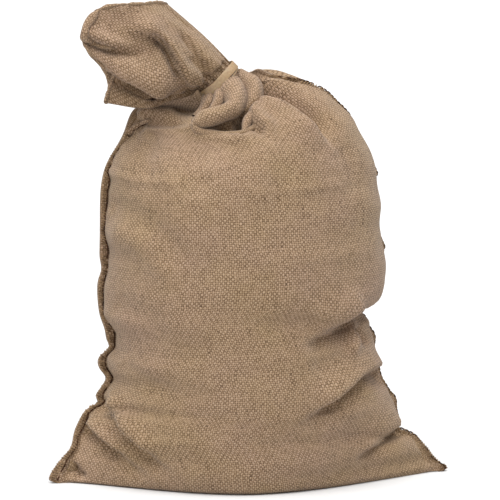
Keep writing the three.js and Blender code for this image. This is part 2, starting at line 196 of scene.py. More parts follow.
# The right seam lies tucked in behind the front, but for these (height, half height) places. It is
# tucked in further where it runs along the top, which is where the way out of it leans less than
# this to the right. The faces close over it from this share of the half width, and over this depth.
SEAM_TUCK = 4.2
SEAM_TUCK_ON_TOP = 0.3
ON_TOP_LEAN, ON_TOP_OVER = 0.2, 0.5
SEAM_TUCK_FROM, SEAM_TUCK_OVER = 0.6, 0.3
SEAM_TUCK_DEPTH = 10
# It is neither tucked in nor laid back where the sewn edge is narrower than these widths.
TUCKED_WIDTH, LAID_WIDTH, WIDTH_OVER = 2.5, 5, 2
SEAM_SHOWN = ((306, 5), (232, 7), (139, 11), (76, 7), (38, 9))

# Folds: (height, left, right, lean, path) of each, in millimetres. Its path runs through (x, z)
# places as seen from the front and 7 degrees above. "height" is how far it stands out (below zero
# for a crease), "left" and "right" are its half widths on the left and right hand of someone who
# follows the path, and "lean" is how far its crest hangs over to the left hand.
FRONT_FOLDS = (
    # the hollow under the roll, and the lip in front of it
    (-60, 5, 6, 0, ((-7, 359), (-10, 354), (-15, 351))),
    (-12, 5, 6, 0, ((-6, 356), (-16, 354), (-26, 354), (-36, 356))),
    (5, 7, 5, 0, ((-58, 347), (-34, 342), (-12, 340), (0, 342), (5, 350))),
    (-9, 4, 4, 0, ((2, 378), (-3, 370), (-8, 362), (-10, 356))),
    # the shoulder's creases and the mound below them
    (-17, 12, 4, 0, (
        (-10, 412), (0, 402), (11, 391), (22, 386), (36, 381), (51, 371), (66, 358), (77, 345), (85, 333)
    )),
    (9, 6, 18, 0, ((10, 378), (22, 376), (36, 370), (54, 358), (78, 336))),
    (7, 6, 8, 0, ((3, 374), (6, 364), (16, 354), (30, 348))),
    (-7, 4, 4, 0, ((-4, 360), (5, 352), (17, 343))),
    # beside the band
    (-5, 4, 4, 0, ((-57, 421), (-45, 406), (-38, 395), (-33, 387))),
    (-9, 4, 7, 0, ((-122, 348), (-106, 360), (-79, 359), (-54, 357))),
    (5, 4, 14, 2, ((-56, 350), (-79, 352), (-106, 352), (-120, 341))),
    (6, 7, 6, 0, ((-112, 369), (-90, 367), (-72, 368), (-56, 374))),
    # the ruffle
    (12, 12, 4, -2, ((-112, 447), (-99, 450), (-88, 446), (-78, 434), (-70, 419), (-64, 404), (-57, 392))),
    (-12, 3, 6, 0, ((-94, 443), (-85, 436), (-76, 423), (-70, 408), (-64, 396), (-58, 388))),
    (-5, 8, 8, 0, ((-88, 454), (-70, 436), (-56, 416), (-46, 404))),
    (-6, 3, 5, 0, ((-66, 446), (-58, 435), (-49, 422), (-41, 408), (-35, 394))),
    (-9, 3, 6, 0, ((-168, 440), (-157, 437), (-144, 431), (-130, 428), (-114, 428), (-98, 432))),
    (6, 8, 4, -2, ((-166, 449), (-149, 442), (-137, 437), (-118, 435))),
    (11, 16, 4, -1, ((-140, 412), (-129, 406), (-116, 401), (-101, 394), (-86, 389), (-72, 388))),
    (-12, 3, 5, 0, ((-138, 405), (-127, 399), (-114, 394), (-100, 387), (-84, 382), (-68, 381))),
    (-13, 7, 9, 0, ((-52, 383), (-58, 377), (-66, 373), (-80, 373))),
    # the body's right side
    (-11, 17, 3.6, 0, ((113, 168), (97, 157), (83, 147), (69, 139), (54, 132))),
    (7, 7, 15, 6, ((112, 181), (91, 169), (76, 159), (58, 149))),
    (8, 5, 6, 0, ((109, 164), (109, 142), (101, 122))),
    (-12, 5, 5, 0, ((113, 154), (118, 136))),
    (-12, 13, 3, 0, ((136, 113), (117, 105), (104, 93), (92, 83), (80, 73), (66, 63), (52, 55))),
    (5, 6, 12, 4, ((134, 122), (115, 113), (98, 99), (82, 84), (66, 72))),
    (-5, 10, 8, 0, ((104, 132), (84, 118), (60, 112))),
    (-9, 9, 4, 0, ((155, 56), (139, 46), (130, 35), (118, 24), (108, 16))),
    (4, 6, 12, 3, ((150, 62), (134, 50), (122, 38), (108, 27))),
    (-4, 12, 16, 0, ((90, 330), (104, 306), (112, 280))),
    (3, 14, 14, 0, ((20, 340), (10, 300), (16, 262))),
    # its left side
    (-5, 12, 16, 0, ((-144, 276), (-112, 262), (-82, 240), (-58, 212))),
    (4, 14, 12, 0, ((-138, 250), (-112, 236), (-90, 214), (-72, 186))),
    (-4, 10, 12, 0, ((-96, 350), (-104, 322), (-98, 296))),
    (-3, 12, 14, 0, ((-40, 336), (-52, 310), (-44, 280))),
    (-4, 12, 12, 0, ((-138, 176), (-104, 160), (-78, 138))),
    (-7.5, 3.4, 10, 0, ((-146, 77), (-138, 60), (-127, 45), (-115, 33), (-103, 23), (-88, 12), (-72, 4))),
    (6, 9, 3, -5, ((-138, 84), (-130, 65), (-119, 50), (-106, 37), (-92, 26))),
    (-7.5, 3.4, 9, 0, ((-166, 56), (-154, 42), (-141, 31), (-127, 19), (-114, 9), (-100, 0))),
    (5, 8, 3, -4, ((-162, 62), (-150, 48), (-136, 37), (-120, 25))),
    (-9, 3, 5, 0, ((-178, 16), (-172, 8), (-164, 2))),
    (-4, 9, 9, 0, ((-130, 118), (-100, 96), (-70, 88))),
)
BACK_FOLDS = (
    (-9, 8, 17, 0, ((-122, 162), (-86, 148), (-52, 124))),
    (-7, 15, 7, 0, ((124, 112), (84, 86), (46, 58))),
    (-7, 7, 14, 0, ((-132, 76), (-100, 46), (-70, 20))),
    (-8, 7, 11, 0, ((2, 406), (34, 382), (66, 370))),
    (-8, 8, 11, 0, ((-88, 358), (-58, 346), (-30, 350))),
    (-7, 6, 6, 0, ((-92, 444), (-72, 416), (-52, 394))),
    (7, 12, 7, -3, ((-120, 430), (-92, 412), (-62, 386))),
)
# Loose folds of the gathered cloth below the band, which roll over themselves: places along the
# middle of each, and its half thickness across and in depth, in millimetres.
ROLLS = {
    "curl": (
        (-24, -3, 398, 14, 12),
        (-18, -13, 390, 14, 13),
        (-14, -26, 382, 12, 13),
        (-16, -38, 374, 10, 12),
        (-25, -46, 370, 8.5, 11),
        (-36, -50, 367, 9, 11),
        (-46, -50, 363, 8.5, 10),
        (-52, -50, 358, 6, 8),
        (-48, -53, 352, 4.5, 6),
        (-36, -55, 350, 4, 5),
        (-22, -57, 349, 3.5, 4.5),
        (-10, -56, 350, 3.5, 4),
        (0, -52, 354, 3.5, 4),
        (9, -44, 358, 3, 3),
    ),
    "left pleat": (
        (-42, -3, 387, 4, 5),
        (-43, -11, 381, 5, 6),
        (-45, -19, 373, 5, 6),
        (-51, -25, 363, 6, 5),
    ),
    "middle pleat": (
        (-38, -7, 388, 4, 5),
        (-39, -15, 382, 5, 6),
        (-42, -22, 375, 5.5, 6),
        (-47, -27, 365, 6, 5),
    ),
    "inner pleat": (
        (-30, -9, 391, 5, 6),
        (-30, -18, 385, 6, 8),
        (-31, -28, 378, 6, 8),
        (-36, -35, 370, 6, 7),
    ),
    "right lobe": (
        (-10, 4, 406, 6, 7),
        (-5, -2, 401, 8, 9),
        (2, -9, 395, 10, 11),
        (5, -19, 387, 9, 11),
        (3, -27, 378, 7, 9),
        (-3, -29, 371, 5, 7),
        (-11, -27, 365, 4, 5),
    ),
    "pit lobe": (
        (6, -30, 372, 4, 4),
        (1, -40, 366, 5, 6),
        (-3, -48, 360, 5, 6),
        (-4, -53, 353, 4, 5),
        (-2, -56, 348, 3, 3),
    ),
}
ROLL_STEPS_A_ROW = 7
ROLL_SIDES = 30
ROLL_DEPTH_DIRECTION = (0.0, -1.0, 0.25)
# The dents of a roll are this high, with this many to a millimetre.
ROLL_DENTS = (1.1, 0.06)

# The left seam turns onto the front here, and the mouth's hem is turned over here: half width
# and path as seen from the front.
SHOULDER_SEAM = (2.6, ((-122, 345), (-119, 349), (-112, 354), (-103, 359), (-97, 359.5)))
TURNED_HEM = (4.2, (
    (-152, 468), (-160, 462), (-166, 452), (-165, 443), (-158, 437), (-147, 433), (-134, 431)
))
# A turned edge stands this far off the cloth, and is this much flatter than it is wide.
EDGE_RISE, EDGE_FLATNESS = 0.8, 0.75
HEM_RADIUS = 2.2
# The hem's points stand at least this far apart. Edges and the hem are lumpy by a share of their
# thickness, the hem at this rate from point to point.
HEM_LEAST_STEP = 0.2
LUMPS = 0.25
HEM_LUMP_RATE, HEM_LUMP_SEED = 0.31, 5.0

# The band's path, in half turns from the back: its offset along the neck (in steps between the
# turns), the share of its width that lies flat, and whether it is the inner (0) or outer turn.
BAND_PATH = np.array([
    (0, 1, 1, 0.5),
    (0.2, 0.95, 1, 0),
    (0.5, 0.6, 1, 0),
    (0.9, 0.05, 0.9, 0),
    (1.04, -0.7, 0.4, 0),
    (1.12, -1.22, 0.24, 0),
    (1.26, -1.16, 0.2, 0),
    (1.38, -0.95, 0.2, 0),
    (1.5, -0.6, 0.4, 0),
    (1.8, -0.95, 1, 0),
    (2, -1, 1, 0.5),
    (2.2, -0.95, 1, 1),
    (2.5, -0.6, 1, 1),
    (3, 0, 1, 1),
    (3.5, 0.3, 1, 1),
    (3.8, 0.95, 1, 1),
    (4, 1, 1, 0.5),
])
BAND_HALF_TURNS = 4
BAND_STEPS = 320
# The rounding of the band's edges.
BAND_CORNER = 0.3

# How a fold or a turned edge starts and ends along its path: (share of the path, level at the tip).
FOLD_START, FOLD_END = (0.16, 0.45), (0.4, 0.15)
EDGE_START, EDGE_END = (0.1, 0.3), (0.3, 0.15)
# Folds reach this many times their half width. They fade out over this height above the floor, and
# over this share of a face beside its seams.
FOLD_REACH = 2.6
FLOOR_FADE = 12
SEAM_FADE = 0.07
# Folds leave the band clear, by so many rows to each side, and grow over the next ones.
BAND_ROWS, BAND_FADE_ROWS = 0.5, 0.6
# The neck's pleats reach over as many rows, and start at this share of a face from its seams. They
# are unevenly wide: (waves round the neck, size) of each wobble.
PLEAT_ROWS = 1.6
PLEAT_FADE = 0.2
PLEAT_WOBBLES = ((2, 1.2), (3, 0.7))
# (height in millimetres, number to a metre) of the filled cloth's soft dents, which fade out over
# this many columns beside a seam
DENTS = ((2.2, 14), (0.9, 38))
DENTS_FADE_COLUMNS = 8
# Where the front hangs lower by "drop", the back is drawn up by this share of it.
BACK_RISE = 0.35

# Where the folds' paths are seen from, in millimetres.
VIEW_DISTANCE = 2500
VIEW_HEIGHT_ANGLE = math.radians(7)
VIEW_CENTRE_Z = 240
# A point that lies further behind counts as this much further away, for each millimetre.
BEHIND = 0.1
# The lamps shine from these directions.
OVERHEAD_FROM = (0.0, -0.25, 1.0)
FRONT_FROM = (-0.8, -1.0, 0.35)

# The flat cloth's coordinates: half the width of a face, where the part beyond the band begins,
# how level the threads run in the gathered part, and how much more cloth a roll holds than it shows.
CLOTH_HALF_WIDTH = 190
CLOTH_LENGTH = 500
LEVEL_SHARE = 0.6
GATHERED = 1.25

# The weave: its noises' scales to a metre, how round a thread is across (less is flatter), and how
# a float dips at its ends (share that varies, share that stays).
WEAVE_NOISE = {"wander": 26.0, "jitter": 170.0, "fuzz": 900.0, "patch": 9.0}
THREAD_ROUNDNESS = 0.6
WARP_DIP, WEFT_DIP = (0.3, 0.7), (0.5, 0.4)
THREAD_LANE = 5.7
DARK_RUN_FROM, DARK_RUN_TO = 0.62, 0.74


def smooth(value):
    """Eases from 0 to 1."""
    share = np.clip(value, 0, 1)
    return share * share * (3 - 2 * share)


def curve_through(table, places, column, at):
    """A smooth curve through one column of a table whose rows stand at places."""
    values = table[:, column]
    last = len(places) - 1
    index = np.clip(np.searchsorted(places, at, side="right") - 1, 0, last - 1)
    before = np.maximum(np.arange(last + 1) - 1, 0)
    after = np.minimum(np.arange(last + 1) + 1, last)
    slopes = (values[after] - values[before]) / (places[after] - places[before])
    step = places[index + 1] - places[index]
    t = np.clip((at - places[index]) / step, 0, 1)
    start = values[index] * (2 * t**3 - 3 * t**2 + 1) + slopes[index] * step * (t**3 - 2 * t**2 + t)
    end = values[index + 1] * (3 * t**2 - 2 * t**3) + slopes[index + 1] * step * (t**3 - t**2)
    return start + end


def mouth_fold(across, column):
    """One column of MOUTH_FOLDS at each place across the mouth."""
    return curve_through(MOUTH_FOLDS, MOUTH_FOLDS[:, 0], MOUTH_COLUMNS.index(column), across)


def corner_seam(height):
    """How much wider the left seam is in the flattened bottom corner."""
    return CORNER_SEAM["wider"] * smooth((CORNER_SEAM["top"] - height) / CORNER_SEAM["over"])


def bumps(height, places):
    """The sum of smooth bumps up a seam, each with its middle height, size and half height."""
    total = np.zeros_like(height)
    for middle, size, half_height in places:
        total += size * np.exp(-(((height - middle) / half_height) ** 2))
    return total


def seam_notch(right, height):
    """How far the folds draw a side seam in at each height."""
    return bumps(height, [row[1:] for row in SEAM_NOTCHES if row[0] == right])


def seam_tuck(height):
    """How far the right seam is tucked in behind the front, at each height."""
    shown = bumps(height, [(middle, 1, half_height) for middle, half_height in SEAM_SHOWN])
    return SEAM_TUCK * (1 - np.minimum(shown, 1))


def ripple(values, seed):
    """A smooth, repeatable wobble between about -1 and 1 along a list of values."""
    flat = [noise.noise(Vector((float(value), seed, 0.5))) for value in np.ravel(values)]
    return 2 * np.array(flat).reshape(np.shape(values))


def unit(vectors):
    """The vectors with a length of 1."""
    return vectors / np.maximum(np.linalg.norm(vectors, axis=-1, keepdims=True), 1e-9)


def fading(share, start, end):
    """Eases in from a path's start and out to its end; each is (share of the path, level at the tip)."""
    return smooth(share / start[0] + start[1]) * smooth((1 - share) / end[0] + end[1])


def distances_along(points):
    """How far along a path each of its points lies."""
    return np.concatenate([[0], np.cumsum(np.linalg.norm(np.diff(points, axis=0), axis=-1))])


class Skin:
    """The sack's cloth as rings of points: each ring runs the back from right to left, then the front."""

    def __init__(self, settings):
        self.columns = settings.columns
        self.wall = settings.mouth_wall / MM
        self.seam_thickness = settings.seam_thickness / MM
        self.pleats = settings.pleats
        self.pleat_depth = settings.pleat_depth / MM
        self.places = self.ring_places(settings.rings)
        self.plain = self.rings(self.places)
        self.normals = self.ring_normals(self.plain)
        self.lifts = self.lift(self.plain, self.places)
        self.outer = self.plain + self.lifts
        inner_places = self.places[self.places > LAST_ROW - MOUTH_INNER_ROWS][::-1]
        closing = smooth((LAST_ROW - inner_places) / MOUTH_INNER_ROWS)[:, None]
        inner = self.rings(inner_places, self.wall, closing)
        matching = self.lifts[::-1][: len(inner_places)]
        self.inner = inner + matching * (1 - closing)[..., None]

    @staticmethod
    def ring_places(count):
        """Rings stand closer together round the neck, where the cloth is gathered."""
        rows = np.linspace(0, LAST_ROW, 2000)
        near = np.exp(-(((rows - CLOSE_RINGS["row"]) / CLOSE_RINGS["rows"]) ** 2))
        beyond = rows > CLOSE_RINGS["beyond"]
        density = 1 + CLOSE_RINGS["closer"] * near + CLOSE_RINGS["closer_beyond"] * beyond
        total = np.cumsum(density)
        places = np.interp(np.linspace(total[0], total[-1], count), total, rows)
        places[0], places[-1] = 0, LAST_ROW
        return places

    def rings(self, places, inset=0.0, closing=0.0):
        """Rings without folds: the outside, or the mouth's inside, which closes towards its end."""
        section = {
            name: self.section_at(index, places)[:, None] for index, name in enumerate(SECTION_COLUMNS)
        }
        loose = SEAM_WOBBLE * (1 - smooth((places[:, None] - SEAM_CALM_ROW) / SEAM_CALM_OVER_ROWS))
        wobbles = [ripple(places[:, None] * rate, seed) for rate, seed in (RIGHT_WOBBLE, LEFT_WOBBLE)]
        left_x = section["left_x"] + seam_notch(0, section["left_z"])
        right_x = section["right_x"] - seam_notch(1, section["right_z"])
        left = np.stack([left_x, section["left_y"], section["left_z"]], axis=-1)
        right = np.stack([right_x, section["right_y"], section["right_z"]], axis=-1)
        tuck, on_top = self.right_tuck(section, right)
        right = right - tuck
        middle, half = (left + right) / 2, (right - left) / 2
        half_width = np.linalg.norm(half, axis=-1)
        along = unit(np.stack([-half[..., 2], 0 * half_width, half[..., 0]], axis=-1))
        narrowing = (1 - inset / half_width) * (1 - MOUTH_END_NARROWER * closing)
        faces = []
        for face, outwards in (("back", 1), ("front", -1)):
            step = np.arange(self.columns)[::outwards]
            right_half = step < self.columns / 2
            wobble = np.where(right_half, *wobbles)
            corner = np.where(right_half, 0, corner_seam(left[..., 2]))
            seam_share = (section["seam"] * (1 + loose * wobble) + corner) / half_width
            across = self.across_at(step[None, :], seam_share) * narrowing
            closed = section[face] * self.swell(across, seam_share, section)
            swell = closed + (mouth_fold(across, face) - closed) * section["mouth"]
            least = MOUTH_INNER_LEAST if inset else self.seam_thickness / 2
            outward = np.maximum(swell - inset, least) * (1 - MOUTH_END_FLATTER * closing)
            bulge = outward / section[face]
            reach = section["reach"] * mouth_fold(across, face + "_reach")
            slide = -section["drop"] if face == "front" else BACK_RISE * section["drop"]
            point = middle + half * across[..., None]
            point = point + along * (reach + slide * bulge)[..., None]
            point[..., 1] += outwards * outward
            point[..., 0] -= outwards * section["turn"] * bulge
            beside_seam = smooth((across - SEAM_TUCK_FROM) / SEAM_TUCK_OVER)
            beside_seam = smooth(outward / SEAM_TUCK_DEPTH) * beside_seam
            beside_seam *= 1 if face == "front" else on_top
            point += tuck * beside_seam[..., None]
            self.bend_seam(point, section, across, half, half_width, seam_share, outwards * outward)
            faces.append(point)
        return np.concatenate(faces, axis=1)

    @staticmethod
    def right_tuck(section, right):
        """Which way and how far the right seam is tucked in, and where it lies on top (1)."""
        run = np.gradient(right, axis=0)
        outward = unit(np.stack([run[..., 2], 0 * run[..., 0], -run[..., 0]], axis=-1))
        on_top = 1 - smooth((outward[..., 0] - ON_TOP_LEAN) / ON_TOP_OVER)
        wide = smooth((section["seam"] - TUCKED_WIDTH) / WIDTH_OVER)
        depth = seam_tuck(section["right_z"]) * (1 - section["pinch_right"])
        depth = depth * (1 + SEAM_TUCK_ON_TOP * on_top) * wide
        return outward * depth[..., None], on_top

    @staticmethod
    def section_at(column, places):
        """One column of SECTIONS at the places, eased over neighbouring rows on the body."""
        rows = np.arange(len(SECTIONS))
        plain = curve_through(SECTIONS, rows, column, places)
        eased = np.zeros_like(plain)
        for step in EASING_STEPS:
            near = np.clip(places + step, 0, LAST_ROW)
            eased += curve_through(SECTIONS, rows, column, near) / len(EASING_STEPS)
        weight = smooth((places - EASED_FROM_ROW) / 3) * smooth((EASED_TO_ROW - places) / 2)
        return plain + weight * (eased - plain)

    def across_at(self, step, seam_share):
        """Where each column stands, from the right seam's edge (1) to the left seam's edge (-1)."""
        last = self.columns - 1
        body = (1 - seam_share) * np.cos(math.pi * (step - SEAM_STEPS) / (last - 2 * SEAM_STEPS))
        right = 1 - seam_share * step / SEAM_STEPS
        left = -1 + seam_share * (last - step) / SEAM_STEPS
        return np.where(step < SEAM_STEPS, right, np.where(step > last - SEAM_STEPS, left, body))

    @staticmethod
    def swell(across, seam_share, section):
        """How far a face stands out, from 0 at its seams to 1: flatter where a corner is pinched."""
        pinch = np.where(across < 0, section["pinch_left"], section["pinch_right"])
        share = np.minimum(np.abs(across) / (1 - seam_share), 1)
        powers = SWELL_INNER_POWER, SWELL_OUTER_POWER
        inner, outer = (plain + pinched * pinch for plain, pinched in powers)
        return np.maximum(1 - share**inner, 0) ** outer

    @staticmethod
    def bend_seam(point, section, across, half, half_width, seam_share, thick):
        """The sewn edge leans forward at the left and lies back at the right."""
        beyond = np.maximum(np.abs(across) - (1 - seam_share), 0)
        left = -LEFT_SEAM_BEND * (1 - section["pinch_left"])
        wide = smooth((section["seam"] - LAID_WIDTH) / WIDTH_OVER)
        right = RIGHT_SEAM_BEND * (1 - section["pinch_right"]) * wide
        bend = np.where(across < 0, left, right)
        turned = bend * smooth(beyond / (SEAM_BENT_SHARE * seam_share))
        outward = beyond * (1 - np.cos(bend)) + thick * np.sin(turned) / half_width
        point -= half * (np.sign(across) * outward)[..., None]
        point[..., 1] += beyond * half_width * np.sin(bend) - thick * (1 - np.cos(turned))

    @staticmethod
    def ring_normals(rings):
        """The outward direction at every point of the rings."""
        around = np.roll(rings, -1, axis=1) - np.roll(rings, 1, axis=1)
        return unit(np.cross(around, np.gradient(rings, axis=0)))

    def lift(self, rings, places):
        """How far each point is lifted outwards by folds, pleats and small creases."""
        count = rings.shape[1]
        index = np.arange(count)
        on_back = index < self.columns
        from_seam = np.minimum(index % self.columns, self.columns - 1 - index % self.columns)
        place = places[:, None]
        away = smooth((np.abs(place - NECK_PLACE) - BAND_ROWS) / BAND_FADE_ROWS)
        off_floor = smooth(rings[..., 2] / FLOOR_FADE)
        side = smooth((from_seam - SEAM_STEPS) / (SEAM_FADE * self.columns))
        back_height, back_carry = fold_shift(rings, BACK_FOLDS, -1)
        front_height, front_carry = fold_shift(rings, FRONT_FOLDS, 1)
        folds = np.where(on_back, back_height, front_height)
        carry = np.where(on_back[:, None], back_carry, front_carry)
        turn = 2 * math.pi * index / count
        phase = self.pleats * turn + sum(size * np.sin(waves * turn) for waves, size in PLEAT_WOBBLES)
        gathered = np.exp(-(((place - NECK_PLACE) / PLEAT_ROWS) ** 2))
        pleat = (0.5 - 0.5 * np.cos(phase)) * smooth(from_seam / (PLEAT_FADE * self.columns))
        inside = smooth((from_seam - SEAM_STEPS) / DENTS_FADE_COLUMNS)
        crumple = self.crumple(rings) * inside * off_floor
        height = (folds * side * off_floor + crumple) * away - self.pleat_depth * gathered * pleat
        shift = self.normals * height[..., None]
        shift[..., 0] += carry[..., 0] * side * away
        shift[..., 2] += carry[..., 1] * side * away
        return shift

    @staticmethod
    def crumple(rings):
        """Soft dents of a filled cloth, in millimetres."""
        places = [Vector(point) for point in rings.reshape(-1, 3) * MM]
        heights = [sum(height * noise.noise(place * rate) for height, rate in DENTS) for place in places]
        return np.array(heights).reshape(rings.shape[:2])


def seen(points, behind=1):
    """Where points appear from 7 degrees above the front (or the back, mirrored), in millimetres."""
    rise, level = math.sin(VIEW_HEIGHT_ANGLE), math.cos(VIEW_HEIGHT_ANGLE)
    depth = points[..., 1] * behind
    height = points[..., 2] - VIEW_CENTRE_Z
    scale = VIEW_DISTANCE / (VIEW_DISTANCE + depth * level - height * rise)
    up = (height * level + depth * rise) * scale + VIEW_CENTRE_Z
    return np.stack([points[..., 0] * scale, up], axis=-1)


def smooth_path(path, steps=8):
    """A smooth path through places, as (steps) short lines between each two of them."""
    places = np.array(path, dtype=float)
    rows = np.arange(len(places), dtype=float)
    at = np.linspace(0, len(places) - 1, steps * (len(places) - 1) + 1)
    return np.stack([curve_through(places, rows, axis, at) for axis in (0, 1)], axis=-1)


def beside_path(places, path):
    """How far each place lies to a path's left hand, the path's share there, and that hand's direction."""
    line = smooth_path(path)
    starts, runs = line[:-1], np.diff(line, axis=0)
    lengths = np.linalg.norm(runs, axis=-1)
    done = distances_along(line)
    best = np.full(places.shape[:-1], np.inf)
    aside, share = np.zeros_like(best), np.zeros_like(best)
    hand = np.zeros(places.shape)
    for start, run, length, before in zip(starts, runs, lengths, done):
        offset = places - start
        along = np.clip((offset @ run) / length**2, 0, 1)
        gap = np.linalg.norm(offset - along[..., None] * run, axis=-1)
        nearer = gap < best
        best = np.where(nearer, gap, best)
        side = np.sign(run[0] * offset[..., 1] - run[1] * offset[..., 0])
        aside = np.where(nearer, gap * side, aside)
        share = np.where(nearer, (before + along * length) / done[-1], share)
        hand = np.where(nearer[..., None], np.array([-run[1], run[0]]) / length, hand)
    return aside, share, hand


def fold_shift(points, folds, behind):
    """How far the folds lift points outwards, and how far they carry them sideways (x and z)."""
    places = seen(points, behind)
    height = np.zeros(points.shape[:-1])
    carry = np.zeros(places.shape)
    for lift, left, right, lean, path in folds:
        near = np.array(path)
        margin = FOLD_REACH * max(left, right)
        low, high = near.min(axis=0) - margin, near.max(axis=0) + margin
        chosen = np.all((places > low) & (places < high), axis=-1)
        aside, share, hand = beside_path(places[chosen], path)
        profile = np.exp(-((aside / np.where(aside > 0, left, right)) ** 2))
        profile *= fading(share, FOLD_START, FOLD_END)
        height[chosen] += lift * profile
        carry[chosen] += lean * profile[..., None] * hand
    return height, carry


def ring_quads(rings, sides, closed=False):
    """The point numbers of the faces between rings of points: for each ring, a row for each side."""
    ring, column = np.meshgrid(np.arange(rings if closed else rings - 1), np.arange(sides), indexing="ij")
    after, following = (ring + 1) % rings, (column + 1) % sides
    return np.stack([
        ring * sides + column,
        ring * sides + following,
        after * sides + following,
        after * sides + column,
    ], axis=-1)


def swept(centres, across, depth, up, closed=False, sides=12):
    """A tube along centres; "up" is roughly its depth direction. Returns points and face quads."""
    if closed:
        runs = unit(np.roll(centres, -1, axis=0) - np.roll(centres, 1, axis=0))
    else:
        runs = unit(np.gradient(centres, axis=0))
    side = unit(np.cross(runs, up))
    out = np.cross(side, runs)
    angles = 2 * math.pi * np.arange(sides) / sides
    points = (
        centres[:, None]
        + side[:, None] * (np.cos(angles) * across[:, None])[..., None]
        + out[:, None] * (np.sin(angles) * depth[:, None])[..., None]
    )
    return points, ring_quads(len(centres), sides, closed).reshape(-1, 4)


def tube_coordinates(points):
    """Cloth coordinates of a tube's points: round it and along it, in metres."""
    around = np.linalg.norm(np.roll(points, -1, axis=1) - points, axis=-1)
    mean_round = np.concatenate([[0], np.cumsum(around, axis=1).mean(axis=0)[:-1]])
    along = distances_along(points.mean(axis=1))
    return np.stack(np.broadcast_arrays(mean_round, along[:, None]), axis=-1) * MM * GATHERED


def eased(values, reach):
    """The running mean of each row's value over the rows up to (reach) before and after it."""
    width = 2 * reach + 1
    padded = np.pad(values, ((reach, reach), (0, 0)), mode="edge")
    total = np.cumsum(np.concatenate([np.zeros((1, padded.shape[1])), padded]), axis=0)
    return (total[width:] - total[:-width]) / width


def cloth_coordinates(rings, columns, places, band_ring):
    """Each point's place on the flat cloth, in metres: across from a face's middle and up its height.

    The second answer is for the cloth beyond the band, where it is measured from the band.
    """
    steps = np.linalg.norm(np.diff(rings, axis=0), axis=-1)
    up = np.concatenate([np.zeros((1, rings.shape[1])), np.cumsum(steps, axis=0)])
    waist = int(np.searchsorted(places, WAIST_ROW))
    up += rings[waist, :, 2].mean() - up[waist]
    # above the body the rows of threads run level, more than along the gathered rings
    level_up = up.mean(axis=1, keepdims=True)
    evenly = LEVEL_SHARE * smooth((places - LEVEL_ROW) / LEVEL_OVER_ROWS)[:, None]
    from_band = up - up[band_ring]
    from_band *= 0.5 + 0.5 * from_band[-1].mean() / from_band[-1]
    up = up + evenly * (level_up - up)
    across, level = np.zeros(rings.shape[:2]), np.zeros(rings.shape[:2])
    for start in (0, columns):
        face = slice(start, start + columns)
        lengths = np.linalg.norm(np.diff(rings[:, face], axis=1), axis=-1)
        total = np.concatenate([np.zeros((len(rings), 1)), np.cumsum(lengths, axis=1)], axis=1)
        half = total[:, -1:] / 2
        share = eased(total / half - 1, 5)
        # where the face narrows, its threads draw together a little
        across[:, face] = share * eased(half**0.75 * CLOTH_HALF_WIDTH**0.25, 6)
        level[:, face] = share * eased(half, 8)
        up[:, face] = eased(up[:, face].T, 4).T
        from_band[:, face] = eased(from_band[:, face].T, 6).T
    return np.stack([across, up], axis=-1) * MM, np.stack([level, from_band + CLOTH_LENGTH], axis=-1) * MM


# ---------------------------------------------------------------------------- helpers


def linear(hex_colour):
    """An sRGB hex colour as linear red, green, blue and alpha."""
    channels = [int(hex_colour[index : index + 2], 16) / 255 for index in (1, 3, 5)]
    light = [c / 12.92 if c <= 0.04045 else ((c + 0.055) / 1.055) ** 2.4 for c in channels]
    return (*light, 1.0)


def add_node(tree, kind, inputs=None, **settings):
    """Adds a node, sets its properties and fills or links its inputs; returns the node."""
    node = tree.nodes.new(kind)
    for name, value in settings.items():
        setattr(node, name, value)
    for name, value in (inputs or {}).items():
        if isinstance(value, bpy.types.NodeSocket):
            tree.links.new(value, node.inputs[name])
        else:
            node.inputs[name].default_value = value
    return node


def adder(tree, family):
    """A function that adds a node of one family to a tree."""
    return lambda kind, inputs=None, **settings: add_node(tree, family + kind, inputs, **settings)


def new_object(name, data):
    """An object in the scene for a mesh, lamp or camera."""
    piece = bpy.data.objects.new(name, data)
    bpy.context.scene.collection.objects.link(piece)
    return piece


def mesh_object(name, points, faces, material=None, coordinates=None):
    """A smooth-shaded mesh object at the origin. The coordinates are a UV map's, for each face corner."""
    mesh = bpy.data.meshes.new(name)
    mesh.from_pydata([tuple(point) for point in points], [], faces)
    mesh.shade_smooth()
    if coordinates is not None:
        layer = mesh.uv_layers.new(name="cloth")
        layer.data.foreach_set("uv", np.asarray(coordinates, dtype=np.float32).ravel())
    if material is not None:
        mesh.materials.append(material)
    return new_object(name, mesh)


def new_material(name):
    """An empty material, and a function that adds a node to it."""
    material = bpy.data.materials.new(name)
    material.use_nodes = True
    material.node_tree.nodes.clear()
    return material, adder(material.node_tree, "ShaderNode")


def add_surface(add, inputs):
    """Adds a material's shader and its output."""
    shader = add("BsdfPrincipled", inputs)
    add("OutputMaterial", {"Surface": shader.outputs["BSDF"]})


def colour_ramp(add, factor, *stops):
    """A ramp through (place, hex colour) stops in rising order; returns its colour."""
    ramp = add("ValToRGB", {"Fac": factor})
    elements = ramp.color_ramp.elements
    for element, (place, colour) in ((elements[0], stops[0]), (elements[1], stops[-1])):
        element.position, element.color = place, linear(colour)
    for place, colour in stops[1:-1]:
        elements.new(place).color = linear(colour)
    return ramp.outputs["Color"]


# ---------------------------------------------------------------------------- materials


